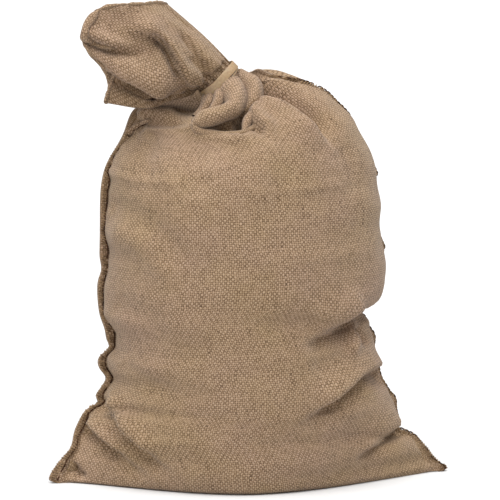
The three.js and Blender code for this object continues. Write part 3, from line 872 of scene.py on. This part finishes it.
def hessian_material(settings):
    """Natural jute hessian, plain woven and unbleached: matt, hairy, coarse threads with slubs."""
    material, add = new_material("Jute hessian, plain woven")

    def math_node(operation, *values):
        return add("Math", dict(enumerate(values)), operation=operation).outputs[0]

    def vector_node(operation, inputs):
        return add("VectorMath", inputs, operation=operation).outputs[0]

    def noise_at(vector, scale, detail=2.0, roughness=0.5):
        inputs = {"Vector": vector, "Scale": scale, "Detail": detail, "Roughness": roughness}
        return add("TexNoise", inputs)

    def mixed(factor, first, second):
        return add("Mix", {0: factor, 2: first, 3: second}).outputs[0]

    # threads wander a little from their straight lines
    place = add("UVMap", uv_map="cloth").outputs["UV"]
    threads = place
    strays = (("wander", 2.0, settings.thread_wander), ("jitter", 1.0, settings.thread_jitter))
    for kind, detail, stray in strays:
        drift = noise_at(place, WEAVE_NOISE[kind], detail).outputs["Color"]
        drift = vector_node("SUBTRACT", {0: drift, 1: (0.5, 0.5, 0.5)})
        threads = vector_node("ADD", {0: threads, 1: vector_node("SCALE", {0: drift, "Scale": stray * 4})})
    threads = vector_node("SCALE", {0: threads, "Scale": 1 / settings.thread_pitch})
    number = vector_node("FLOOR", {0: threads})
    cell, part, run = (
        add("SeparateXYZ", {0: vector}).outputs
        for vector in (number, vector_node("FRACTION", {0: threads}), threads)
    )

    # over and under: the warp is on top wherever the two thread numbers add up to an odd one
    warp_on_top = math_node("FLOORED_MODULO", math_node("ADD", cell["X"], cell["Y"]), 2.0)

    # each thread is round across, and dips under its neighbour at both ends of a float; the same relief
    # paints light and shade into the threads' colour further down
    across_warp, across_weft = (
        math_node("SINE", math_node("MULTIPLY", part[axis], math.pi)) for axis in "XY"
    )
    reliefs = []
    for across, along, dip in ((across_weft, across_warp, WEFT_DIP), (across_warp, across_weft, WARP_DIP)):
        dipped = math_node("MULTIPLY_ADD", along, *dip)
        reliefs.append(math_node("MULTIPLY", math_node("POWER", across, THREAD_ROUNDNESS), dipped))
    relief = mixed(warp_on_top, *reliefs)

    # every thread has its own shade, with thick and thin places; a few are dark for a stretch
    tones = []
    for own, along, seed in ((cell["X"], run["Y"], 11.0), (cell["Y"], run["X"], 47.0)):
        spot = {
            "X": math_node("MULTIPLY", own, THREAD_LANE),
            "Y": math_node("MULTIPLY", along, settings.slub_rate),
            "Z": seed,
        }
        spot = add("CombineXYZ", spot).outputs[0]
        tones.append(noise_at(spot, 1.0, 1.0).outputs["Fac"])
    slub = mixed(warp_on_top, tones[1], tones[0])
    dark_run = {0: tones[0], 1: DARK_RUN_FROM, 2: DARK_RUN_TO, 3: 0.0, 4: settings.dark_runs}
    dark_run = add("MapRange", dark_run).outputs[0]
    grain = add("TexWhiteNoise", {"Vector": number}, noise_dimensions="2D").outputs[0]
    fuzz = noise_at(place, WEAVE_NOISE["fuzz"]).outputs["Fac"]
    # painted shade: the holes where four threads meet are painted dark
    gaps = [math_node("SUBTRACT", 1.0, across) for across in (across_warp, across_weft)]
    hole_shade_mask = math_node("MULTIPLY", *gaps)

    # painted light and shade: a thread's colour is lighter on its top and darker at its sides and where it
    # dips under
    tone = math_node("MULTIPLY", relief, settings.painted_thread_shade)
    for operation, value, weight in (
        # painted shade: the floats across the sack lie lower and are painted darker than those along it
        ("ADD", warp_on_top, settings.painted_weft_shade),
        ("ADD", grain, settings.grain),
        ("ADD", slub, settings.slubs),
        ("ADD", fuzz, settings.fuzz),
        ("SUBTRACT", dark_run, 1.0),
        ("SUBTRACT", hole_shade_mask, settings.holes),
    ):
        tone = math_node(operation, tone, math_node("MULTIPLY", value, weight))
    level = {0: tone, 1: settings.tone_low, 2: settings.tone_high}
    level = add("MapRange", level).outputs[0]
    # the ramp runs from painted shade deep between the threads, through the threads' own colours, to the
    # palest, which also serves as a painted highlight on their tops
    weave_colour_and_shade = colour_ramp(
        add,
        level,
        (0, settings.gap),
        (0.28, settings.dark_thread),
        (0.56, settings.thread),
        (1, settings.pale_thread),
    )

    # retted jute is yellower in some patches and greyer in others
    patch = noise_at(place, WEAVE_NOISE["patch"], 3.0, 0.6).outputs["Fac"]
    tinted = add("Mix", {
        0: 1.0,
        6: weave_colour_and_shade,
        7: colour_ramp(add, patch, (0.36, settings.pink_patch), (0.64, settings.yellow_patch)),
    }, data_type="RGBA", blend_type="MULTIPLY")

    height = math_node("ADD", relief, math_node("MULTIPLY", fuzz, 0.4))
    bump = {"Height": height, "Strength": 0.7, "Distance": settings.thread_relief}
    add_surface(add, {
        "Base Color": tinted.outputs[2],
        "Normal": add("Bump", bump).outputs["Normal"],
        "Roughness": 0.95,
        "Specular IOR Level": 0.1,
        "Sheen Weight": 0.15,
        "Sheen Roughness": 0.6,
    })
    return material


def yarn_material(name, colour, dark):
    """Jute sewing yarn, loosely twisted and matt; its fibres catch the light unevenly."""
    material, add = new_material(name)
    place = add("TexCoord").outputs["Object"]
    tone = add("TexNoise", {"Vector": place, "Scale": 160.0, "Detail": 2.0})
    shade = colour_ramp(add, tone.outputs["Fac"], (0.3, dark), (0.7, colour))
    add_surface(add, {"Base Color": shade, "Roughness": 0.9, "Specular IOR Level": 0.1})
    return material


def rubber_material(settings):
    """Natural rubber, cut from extruded tube: a smooth, slightly see-through, satin tan band."""
    material, add = new_material("Natural rubber, cut band")
    place = add("TexCoord").outputs["Object"]
    grain = add("TexNoise", {"Vector": place, "Scale": 420.0, "Detail": 3.0})
    grain = grain.outputs["Fac"]
    bump = add("Bump", {"Height": grain, "Strength": 0.2, "Distance": 0.0002})
    add_surface(add, {
        "Base Color": colour_ramp(add, grain, (0.3, settings.rubber_dark), (0.7, settings.rubber)),
        "Normal": bump.outputs["Normal"],
        "Roughness": 0.42,
        "IOR": 1.52,
        "Subsurface Weight": 0.15,
        "Subsurface Scale": 0.001,
    })
    return material


def plain_material(name, colour, roughness):
    """A material of one colour."""
    material, add = new_material(name)
    add_surface(add, {"Base Color": colour, "Roughness": roughness})
    return material


# ---------------------------------------------------------------------------- settings


def length(name, description, default):
    return bpy.props.FloatProperty(
        name=name, description=description, default=default, subtype="DISTANCE", unit="LENGTH", precision=5
    )


def angle(name, description, default):
    return bpy.props.FloatProperty(name=name, description=description, default=default, subtype="ANGLE")


def share(name, description, default):
    return bpy.props.FloatProperty(name=name, description=description, default=default, min=0.0)


def whole(name, description, default):
    return bpy.props.IntProperty(name=name, description=description, default=default)


def hex_colour(name, description, default):
    return bpy.props.StringProperty(name=name, description=description, default=default)


class ClothSettings(bpy.types.PropertyGroup):
    columns: whole("Columns a face", "Points from seam to seam on each face", 146)
    rings: whole("Rings", "Rings of points from the base to the hem", 272)
    pleats: whole("Pleats", "Pleats round the gathered neck", 13)
    pleat_depth: length("Pleat depth", "How deep the pleats are at the band", 0.003)
    mouth_wall: length("Mouth wall", "Thickness of the open mouth's cloth", 0.0026)
    seam_thickness: length("Seam thickness", "Two cloths and their overlock yarn", 0.0032)
    thread_pitch: length("Thread pitch", "Distance from one thread to the next", 0.00215)
    thread_wander: length("Thread wander", "How far a thread strays from its line", 0.0011)
    thread_jitter: length("Thread jitter", "How far it strays from one float to the next", 0.0005)
    thread_relief: length("Thread relief", "Height of a thread over the gaps", 0.0005)
    slub_rate: share("Slub rate", "Thick places for each thread pitch of length", 0.05)
    # painted shade: how much darker a thread's sides and dips are painted
    painted_thread_shade: share("Relief contrast", "How much darker the gaps are", 0.5)
    # painted shade on the lower floats across the sack
    painted_weft_shade: share("Warp lightness", "How much lighter a thread on top along the sack is", 0.24)
    grain: share("Grain", "How much the floats differ from each other", 0.22)
    slubs: share("Slubs", "How much thick and thin places differ", 0.22)
    fuzz: share("Fuzz", "How much the loose fibres differ", 0.16)
    dark_runs: share("Dark runs", "How much darker a few stretches of thread are", 0.17)
    # painted shade in the holes where four threads meet
    holes: share("Holes", "How dark the holes are where four threads meet", 0.34)
    tone_low: share("Darkest tone", "Tone of the colour deep in the gaps", 0.26)
    tone_high: share("Lightest tone", "Tone of the palest colour", 1.03)
    thread: hex_colour("Thread", "Colour of most threads", "#917A62")
    pale_thread: hex_colour("Pale thread", "Colour of the palest threads", "#A6907B")
    dark_thread: hex_colour("Dark thread", "Colour of the darker threads", "#735D46")
    # painted shade deep between the threads
    gap: hex_colour("Gap", "Colour deep between the threads", "#443223")
    yellow_patch: hex_colour("Yellow patch", "Tint of the yellower patches", "#FCF8E8")
    pink_patch: hex_colour("Pink patch", "Tint of the pinker patches", "#FFF9F8")


class YarnSettings(bpy.types.PropertyGroup):
    yarn: hex_colour("Yarn", "Colour of the needle line's yarn", "#4C3324")
    yarn_dark: hex_colour("Yarn, dark", "Colour of its dark places", "#2A1A12")
    edge_yarn: hex_colour("Edge yarn", "Colour of the yarn over the edge", "#9A8062")
    edge_yarn_dark: hex_colour("Edge yarn, dark", "Colour of its dark places", "#4E3A28")
    thickness: length("Yarn thickness", "Diameter of the yarn", 0.0010)
    stitch_pitch: length("Stitch pitch", "Distance from one stitch to the next", 0.0048)
    edge_pitch: length("Edge pitch", "Distance from one stitch over the edge to the next", 0.0027)
    needle_length: length("Needle stitch", "Length of a stitch of the needle line", 0.0042)
    needle_depth: length("Needle depth", "How thick the needle line's loops are", 0.0042)
    edge_length: length("Edge stitch", "How far a stitch reaches over the edge", 0.0062)
    edge_overhang: length("Edge overhang", "How far a stitch stands out beyond the edge", -0.0006)
    edge_depth: length("Edge depth", "How thick the loops over the edge are", 0.0040)
    slant: angle("Slant", "Angle of the stitches over the edge", math.radians(20))
    unevenness: share("Unevenness", "How much the stitches differ in turn and size", 0.09)
    missing: share("Missing", "Share of the stitches that are hidden in the cloth", 0.12)


class BandSettings(bpy.types.PropertyGroup):
    width: length("Band width", "Width of the rubber band", 0.0082)
    thickness: length("Band thickness", "Thickness of the rubber band", 0.0011)
    gap: length("Gap", "Gap to the cloth and between the turns", 0.00035)
    spread: length("Spread", "Half the step between the turns at the back", 0.0044)
    rubber: hex_colour("Rubber", "Colour of the rubber", "#A8906F")
    rubber_dark: hex_colour("Rubber, dark", "Colour of its darker specks", "#93795A")


class StageSettings(bpy.types.PropertyGroup):
    distance: length("Camera distance", "From the camera to the middle of the sack", 2.5)
    elevation: angle("Elevation", "Camera's height angle", math.radians(7))
    frame_width: length("Frame width", "Width that the picture spans at the sack", 0.5)
    target_x: length("Target X", "Where the camera looks, to the right", -0.0005)
    target_z: length("Target Z", "Where the camera looks, above the floor", 0.2296)
    floor_reach: length("Floor reach", "From the middle of the floor to its edges", 40.0)
    floor: hex_colour("Floor", "Colour of the floor", "#D2D2D2")
    world_strength: share("World strength", "Brightness of the soft light all round", 0.32)
    overhead_strength: share("Overhead strength", "Strength of the wide lamp above", 5.0)
    front_strength: share("Front strength", "Strength of the wide lamp in front", 0.72)
    lamp_spread: angle("Lamp spread", "Angle that each wide lamp fills", 1.25)


# ---------------------------------------------------------------------------- operators


def roll_fold(rows):
    """A loose fold of cloth below the band."""
    table = np.array(rows, dtype=float)
    last = len(table) - 1
    at = np.linspace(0, last, ROLL_STEPS_A_ROW * last + 1)
    columns = [curve_through(table, np.arange(last + 1.0), column, at) for column in range(5)]
    centre = np.stack(columns[:3], axis=-1)
    points, quads = swept(centre, *columns[3:], np.array(ROLL_DEPTH_DIRECTION), sides=ROLL_SIDES)
    height, rate = ROLL_DENTS
    dents = [height * noise.noise(Vector(point) * rate) for point in points.reshape(-1, 3)]
    return points + unit(points - centre[:, None]) * np.reshape(dents, (*points.shape[:2], 1)), quads


def edge_on_front(skin, half_width, path):
    """A folded edge that lies on the sack's front."""
    centre, normals = on_front(skin, smooth_path(path, 10))
    share = np.linspace(0, 1, len(centre))
    wide = half_width * fading(share, EDGE_START, EDGE_END)
    wide *= 1 + LUMPS * ripple(share * len(path), half_width)
    return swept(centre + normals * EDGE_RISE, wide, wide * EDGE_FLATNESS, normals, sides=14)


def hem_edge(skin):
    """The thick hem round the mouth."""
    centre = (skin.outer[-1] + skin.inner[0]) / 2
    kept = np.concatenate([[True], np.linalg.norm(np.diff(centre, axis=0), axis=-1) > HEM_LEAST_STEP])
    centre = centre[kept]
    lumps = 1 + LUMPS * ripple(np.arange(len(centre)) * HEM_LUMP_RATE, HEM_LUMP_SEED)
    up = unit((skin.outer[-1] - skin.outer[-4])[kept])
    return swept(centre, HEM_RADIUS * lumps, HEM_RADIUS * lumps, up, closed=True, sides=8)


class SACK_OT_cloth(bpy.types.Operator):
    """Builds the sack's cloth: body, seams, gathered neck and open mouth"""

    bl_idname = "sack.cloth"
    bl_label = "Cloth"

    def execute(self, context):
        settings = context.scene.sack_cloth
        skin = Skin(settings)
        columns = skin.columns
        count = 2 * columns
        rings = np.concatenate([skin.outer, skin.inner])
        band_ring = int(np.searchsorted(skin.places, NECK_PLACE))
        below, beyond = cloth_coordinates(skin.plain, columns, skin.places, band_ring)
        beyond = np.concatenate([beyond, beyond[::-1][: len(skin.inner)]]).reshape(-1, 2)
        below = below.reshape(-1, 2)
        quads = ring_quads(len(rings), count)
        under = quads[:band_ring].reshape(-1, 4)
        over = quads[band_ring:].reshape(-1, 4)
        back = np.arange(columns - 1)
        front = count - 1 - back
        # a strip of faces closes the base, and another the mouth's inner end
        base = np.stack([back + 1, back, front, front - 1], axis=-1)
        last = (len(rings) - 1) * count
        bottom = np.stack([back, back + 1, front - 1, front], axis=-1) + last
        points = rings.reshape(-1, 3) * MM
        faces = np.concatenate([under, over, base, bottom])
        coordinates = np.concatenate([below[under], beyond[over], points[base][..., :2], beyond[bottom]])
        turned_edges = [edge_on_front(skin, *edge) for edge in (SHOULDER_SEAM, TURNED_HEM)]
        for tube, tube_quads in (*map(roll_fold, ROLLS.values()), hem_edge(skin), *turned_edges):
            flat = tube_coordinates(tube).reshape(-1, 2)
            faces = np.concatenate([faces, tube_quads + len(points)])
            coordinates = np.concatenate([coordinates, flat[tube_quads]])
            points = np.concatenate([points, tube.reshape(-1, 3) * MM])
        middle = (Vector(SACK_LOW) + Vector(SACK_HIGH)) / 2
        own_middle = (points.min(axis=0) + points.max(axis=0)) / 2
        shift = np.array([middle.x - own_middle[0], middle.y - own_middle[1], 0])
        context.scene["sack_shift"] = [float(value) for value in shift]
        material = hessian_material(settings)
        cloth = mesh_object("sack_cloth", points + shift, faces.tolist(), material, coordinates)
        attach(cloth, "root")
        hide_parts("sack")
        return {"FINISHED"}


def along_path(points, pitch, extras):
    """Places at an even pitch along a path, with the extra vectors there."""
    done = distances_along(points)
    at = np.arange(pitch, done[-1] - pitch, pitch)
    return [
        np.stack([np.interp(at, done, values[:, axis]) for axis in range(3)], axis=-1)
        for values in (points, *extras)
    ]


def stitch_places(skin, settings):
    """The needle line's and the edge's stitches on both side seams: place, run and face of each."""
    columns = skin.columns
    pitch = settings.stitch_pitch / MM
    inset = (settings.edge_overhang - settings.edge_length / 2) / MM
    needle, edge = [], []
    for back, front, (top, line_share) in (
        (columns - 1, columns, LEFT_STITCHES),
        (0, 2 * columns - 1, RIGHT_STITCHES),
    ):
        below_top = skin.places < top
        inward = -SEAM_STEPS if back else SEAM_STEPS
        rim = (skin.outer[:, back] + skin.outer[:, front]) / 2
        root = (skin.outer[:, back + inward] + skin.outer[:, front - inward]) / 2
        run = unit(np.gradient(root, axis=0))
        outward = unit(rim - root)
        face = unit(np.cross(run, outward))
        line = root + line_share * (rim - root)
        slanted = unit(outward + run * math.tan(settings.slant))
        middle = rim + outward * inset
        line, run, middle, slanted, face = (
            values[below_top] for values in (line, run, middle, slanted, face)
        )
        needle.append(along_path(line, pitch, (run, face)))
        edge.append(along_path(middle, settings.edge_pitch / MM, (slanted, face)))
    points, normals = on_front(skin, smooth_path(SHOULDER_SEAM[1], 12))
    run = unit(np.gradient(points, axis=0))
    line = points + SHOULDER_LINE_BELOW * unit(np.cross(run, normals)) - SHOULDER_LINE_SINK * normals
    needle.append(along_path(line, pitch, (run, normals)))
    return [[np.concatenate(parts) for parts in zip(*sides)] for sides in (needle, edge)]


def on_front(skin, path):
    """The points of the sack's front that appear along a path, the frontmost first, and their normals."""
    front = skin.outer[:, skin.columns :].reshape(-1, 3)
    normals = unit(Skin.ring_normals(skin.outer))[:, skin.columns :].reshape(-1, 3)
    places = seen(front)
    chosen = [np.argmin(np.linalg.norm(places - place, axis=-1) + BEHIND * front[:, 1]) for place in path]
    return eased(front[chosen], 2), unit(eased(normals[chosen], 2))


def stitch_tree():
    """Node tree: a loop of yarn at every point, along its "run", round its "face"."""
    tree = bpy.data.node_groups.new("Stitches", "GeometryNodeTree")
    tree.is_modifier = True
    kinds = {
        "Geometry": "Geometry",
        "Loop length": "Float",
        "Loop depth": "Float",
        "Yarn radius": "Float",
        "Unevenness": "Float",
        "Missing": "Float",
        "Seed": "Int",
        "Yarn": "Material",
    }
    for name, kind in kinds.items():
        tree.interface.new_socket(name, in_out="INPUT", socket_type="NodeSocket" + kind)
    tree.interface.new_socket("Geometry", in_out="OUTPUT", socket_type="NodeSocketGeometry")
    geometry, function, shader = (
        adder(tree, family) for family in ("GeometryNode", "FunctionNode", "ShaderNode")
    )
    given = add_node(tree, "NodeGroupInput").outputs
    run, face = (
        geometry("InputNamedAttribute", {"Name": name}, data_type="FLOAT_VECTOR").outputs[0]
        for name in ("run", "face")
    )
    axes = {"Primary Axis": face, "Secondary Axis": run}
    frame_of = function("AxesToRotation", axes, primary_axis="Z", secondary_axis="X")

    # one loop: a rectangle with rounded corners, swept with the yarn's round section
    outline = {"Width": given["Loop length"], "Height": given["Loop depth"]}
    box = geometry("CurvePrimitiveQuadrilateral", outline)
    corner = shader("Math", {0: given["Loop depth"], 1: LOOP_ROUNDING}, operation="MULTIPLY")
    rounding = {"Curve": box.outputs[0], "Count": 3, "Radius": corner.outputs[0], "Limit Radius": True}
    rounded = geometry("FilletCurve", rounding, mode="POLY")
    upright = {"Geometry": rounded.outputs[0], "Rotation": (math.pi / 2, 0, 0)}
    loop = geometry("Transform", upright)
    profile = geometry("CurvePrimitiveCircle", {"Resolution": 5, "Radius": given["Yarn radius"]})
    yarn = {"Curve": loop.outputs[0], "Profile Curve": profile.outputs[0]}
    stitch = geometry("CurveToMesh", yarn)
    smooth_yarn = geometry("SetShadeSmooth", {"Geometry": stitch.outputs[0]})

    # each loop is turned and scaled a little on its own, and a few are left out
    less = shader("Math", {0: 0.0, 1: given["Unevenness"]}, operation="SUBTRACT").outputs[0]
    jitters = []
    for step in (0.0, 1.0):
        seed = shader("Math", {0: given["Seed"], 1: step}, operation="ADD").outputs[0]
        limits = {0: less, 1: given["Unevenness"], "Seed": seed}
        jitters.append(function("RandomValue", limits, data_type="FLOAT_VECTOR").outputs[0])
    as_turn = function("EulerToRotation", {"Euler": jitters[0]}).outputs[0]
    turned = {"Rotation": frame_of.outputs[0], "Rotate By": as_turn}
    turned = function("RotateRotation", turned, rotation_space="LOCAL")
    scale = shader("VectorMath", {0: jitters[1], 1: (1, 1, 1)}, operation="ADD")
    missing = {"Probability": given["Missing"], "Seed": given["Seed"]}
    missing = function("RandomValue", missing, data_type="BOOLEAN")
    kept = function("BooleanMath", {0: missing.outputs[3]}, operation="NOT")
    placed = geometry("InstanceOnPoints", {
        "Points": given["Geometry"],
        "Selection": kept.outputs[0],
        "Instance": smooth_yarn.outputs[0],
        "Rotation": turned.outputs[0],
        "Scale": scale.outputs[0],
    })
    real = geometry("RealizeInstances", {"Geometry": placed.outputs[0]})
    dressed = geometry("SetMaterial", {"Geometry": real.outputs[0], "Material": given["Yarn"]})
    add_node(tree, "NodeGroupOutput", {"Geometry": dressed.outputs[0]})
    return tree


def stitched(name, tree, places, values):
    """A plain mesh object of yarn loops, made by the stitch tree at the given places."""
    points, run, face = places
    carrier = mesh_object(name + "_places", points * MM, [])
    for attribute, vectors in (("run", run), ("face", face)):
        layer = carrier.data.attributes.new(attribute, "FLOAT_VECTOR", "POINT")
        layer.data.foreach_set("vector", np.asarray(vectors, dtype=np.float32).ravel())
    modifier = carrier.modifiers.new("Stitches", "NODES")
    modifier.node_group = tree
    for item in tree.interface.items_tree:
        if item.in_out == "INPUT" and item.name in values:
            modifier[item.identifier] = values[item.name]
    evaluated = carrier.evaluated_get(bpy.context.evaluated_depsgraph_get())
    made = bpy.data.meshes.new_from_object(evaluated)
    if not made.polygons:
        raise RuntimeError("no stitches were made for " + name)
    bpy.data.meshes.remove(carrier.data)
    made.name = name
    piece = new_object(name, made)
    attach(piece, "root")


class SACK_OT_stitches(bpy.types.Operator):
    """Sews both side seams: a needle line, and yarn over their edges"""

    bl_idname = "sack.stitches"
    bl_label = "Seam stitches"

    def execute(self, context):
        settings = context.scene.sack_yarn
        skin = Skin(context.scene.sack_cloth)
        shift = np.array(context.scene["sack_shift"]) / MM
        needle, edge = stitch_places(skin, settings)
        tree = stitch_tree()
        dark = yarn_material("Jute sewing yarn, tanned", settings.yarn, settings.yarn_dark)
        pale = yarn_material("Jute sewing yarn, undyed", settings.edge_yarn, settings.edge_yarn_dark)
        for kind, (points, *vectors), yarn, thicker, seed in (
            ("needle", needle, dark, 1.5, 11),
            ("edge", edge, pale, 1.3, 23),
        ):
            stitched(kind + "_stitches", tree, (points + shift, *vectors), {
                "Loop length": getattr(settings, kind + "_length"),
                "Loop depth": getattr(settings, kind + "_depth"),
                "Yarn radius": settings.thickness / 2 * thicker,
                "Unevenness": settings.unevenness,
                "Missing": settings.missing,
                "Seed": seed,
                "Yarn": yarn,
            })
        return {"FINISHED"}


class SACK_OT_band(bpy.types.Operator):
    """Builds the rubber band, wound twice round the neck"""

    bl_idname = "sack.band"
    bl_label = "Rubber band"

    def execute(self, context):
        settings = context.scene.sack_band
        width, thickness = settings.width / MM, settings.thickness / MM
        gap, spread = settings.gap / MM, settings.spread / MM
        lean = NECK["lean"]
        across = np.array([math.cos(lean), 0, math.sin(lean)])
        axis = np.array([-math.sin(lean), 0, math.cos(lean)])
        centre = np.array([NECK["centre_x"], 0, NECK["centre_z"]])
        backwards = np.array([0, 1, 0])
        # the band's outline: outer side, edge and first angle of each rounded corner
        outline = []
        for outer, edge, first in ((0, -1, 180), (1, -1, 270), (1, 1, 0), (0, 1, 90)):
            for turned in range(first, first + 91, 30):
                out, along = math.cos(math.radians(turned)), math.sin(math.radians(turned))
                radial = outer * thickness + BAND_CORNER * (out - 2 * outer + 1)
                outline.append((radial, edge * (width / 2 - BAND_CORNER) + BAND_CORNER * along))
        radial, sideways = np.array(outline).T
        turns = BAND_HALF_TURNS * np.arange(BAND_STEPS)[:, None] / BAND_STEPS
        offsets, narrows = (curve_through(BAND_PATH, BAND_PATH[:, 0], column, turns) for column in (1, 2))
        layers = np.interp(turns, BAND_PATH[:, 0], BAND_PATH[:, 3])
        out = gap + layers * (thickness + gap) + radial
        angles = math.pi * (turns + 0.5)
        points = (
            centre
            + across * ((NECK["half_width"] + out) * np.cos(angles))[..., None]
            + backwards * ((NECK["half_depth"] + out) * np.sin(angles))[..., None]
            + axis * (offsets * spread + sideways * narrows)[..., None]
        )
        faces = ring_quads(BAND_STEPS, len(outline), closed=True).reshape(-1, 4)[:, [0, 3, 2, 1]]
        shift = np.array(context.scene["sack_shift"])
        points = points.reshape(-1, 3) * MM + shift
        band = mesh_object("rubber_band", points, faces.tolist(), rubber_material(settings))
        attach(band, "root")
        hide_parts("neck_band")
        return {"FINISHED"}


class SACK_OT_stage(bpy.types.Operator):
    """Sets the floor, the soft light and the camera"""

    bl_idname = "sack.stage"
    bl_label = "Stage"

    def execute(self, context):
        settings = context.scene.sack_stage
        scene = context.scene
        scene.view_settings.view_transform = "Standard"
        reach = settings.floor_reach
        corners = [(-reach, -reach, 0), (reach, -reach, 0), (reach, reach, 0), (-reach, reach, 0)]
        board = plain_material("Matt white board", linear(settings.floor), 0.9)
        mesh_object("floor", corners, [(0, 1, 2, 3)], board)

        world = bpy.data.worlds.new("Soft studio")
        world.use_nodes = True
        light = world.node_tree.nodes["Background"].inputs
        light["Color"].default_value = (1, 1, 1, 1)
        light["Strength"].default_value = settings.world_strength
        scene.world = world

        for name, strength, lit_from in (
            ("Overhead softbox", settings.overhead_strength, OVERHEAD_FROM),
            ("Front softbox", settings.front_strength, FRONT_FROM),
        ):
            light = bpy.data.lights.new(name, "SUN")
            light.energy = strength
            light.angle = settings.lamp_spread
            new_object(name, light).rotation_euler = (-Vector(lit_from)).to_track_quat("-Z", "Y").to_euler()

        target = Vector((settings.target_x, 0, settings.target_z))
        camera = bpy.data.cameras.new("Camera")
        camera.lens = camera.sensor_width * settings.distance / settings.frame_width
        camera.dof.use_dof = False
        eye = new_object("Camera", camera)
        back = Vector((0, -math.cos(settings.elevation), math.sin(settings.elevation)))
        eye.location = target + back * settings.distance
        eye.rotation_euler = (-back).to_track_quat("-Z", "Y").to_euler()
        scene.camera = eye
        return {"FINISHED"}


class SACK_PT_panel(bpy.types.Panel):
    """Lists the sack's pieces"""

    bl_label = "Sack"
    bl_idname = "SACK_PT_panel"
    bl_space_type = "VIEW_3D"
    bl_region_type = "UI"
    bl_category = "Sack"

    def draw(self, context):
        for operator in OPERATORS:
            self.layout.operator(operator.bl_idname)


GROUPS = {
    "sack_cloth": ClothSettings,
    "sack_yarn": YarnSettings,
    "sack_band": BandSettings,
    "sack_stage": StageSettings,
}
OPERATORS = (SACK_OT_cloth, SACK_OT_stitches, SACK_OT_band, SACK_OT_stage)


def register():
    for name, group in GROUPS.items():
        bpy.utils.register_class(group)
        setattr(bpy.types.Scene, name, bpy.props.PointerProperty(type=group))
    for operator in OPERATORS:
        bpy.utils.register_class(operator)
    bpy.utils.register_class(SACK_PT_panel)


def unregister():
    bpy.utils.unregister_class(SACK_PT_panel)
    for operator in reversed(OPERATORS):
        bpy.utils.unregister_class(operator)
    for name, group in reversed(GROUPS.items()):
        delattr(bpy.types.Scene, name)
        bpy.utils.unregister_class(group)


def main():
    register()
    bpy.ops.sack.cloth()
    bpy.ops.sack.stitches()
    bpy.ops.sack.band()
    bpy.ops.sack.stage()


if __name__ == "__main__":
    main()
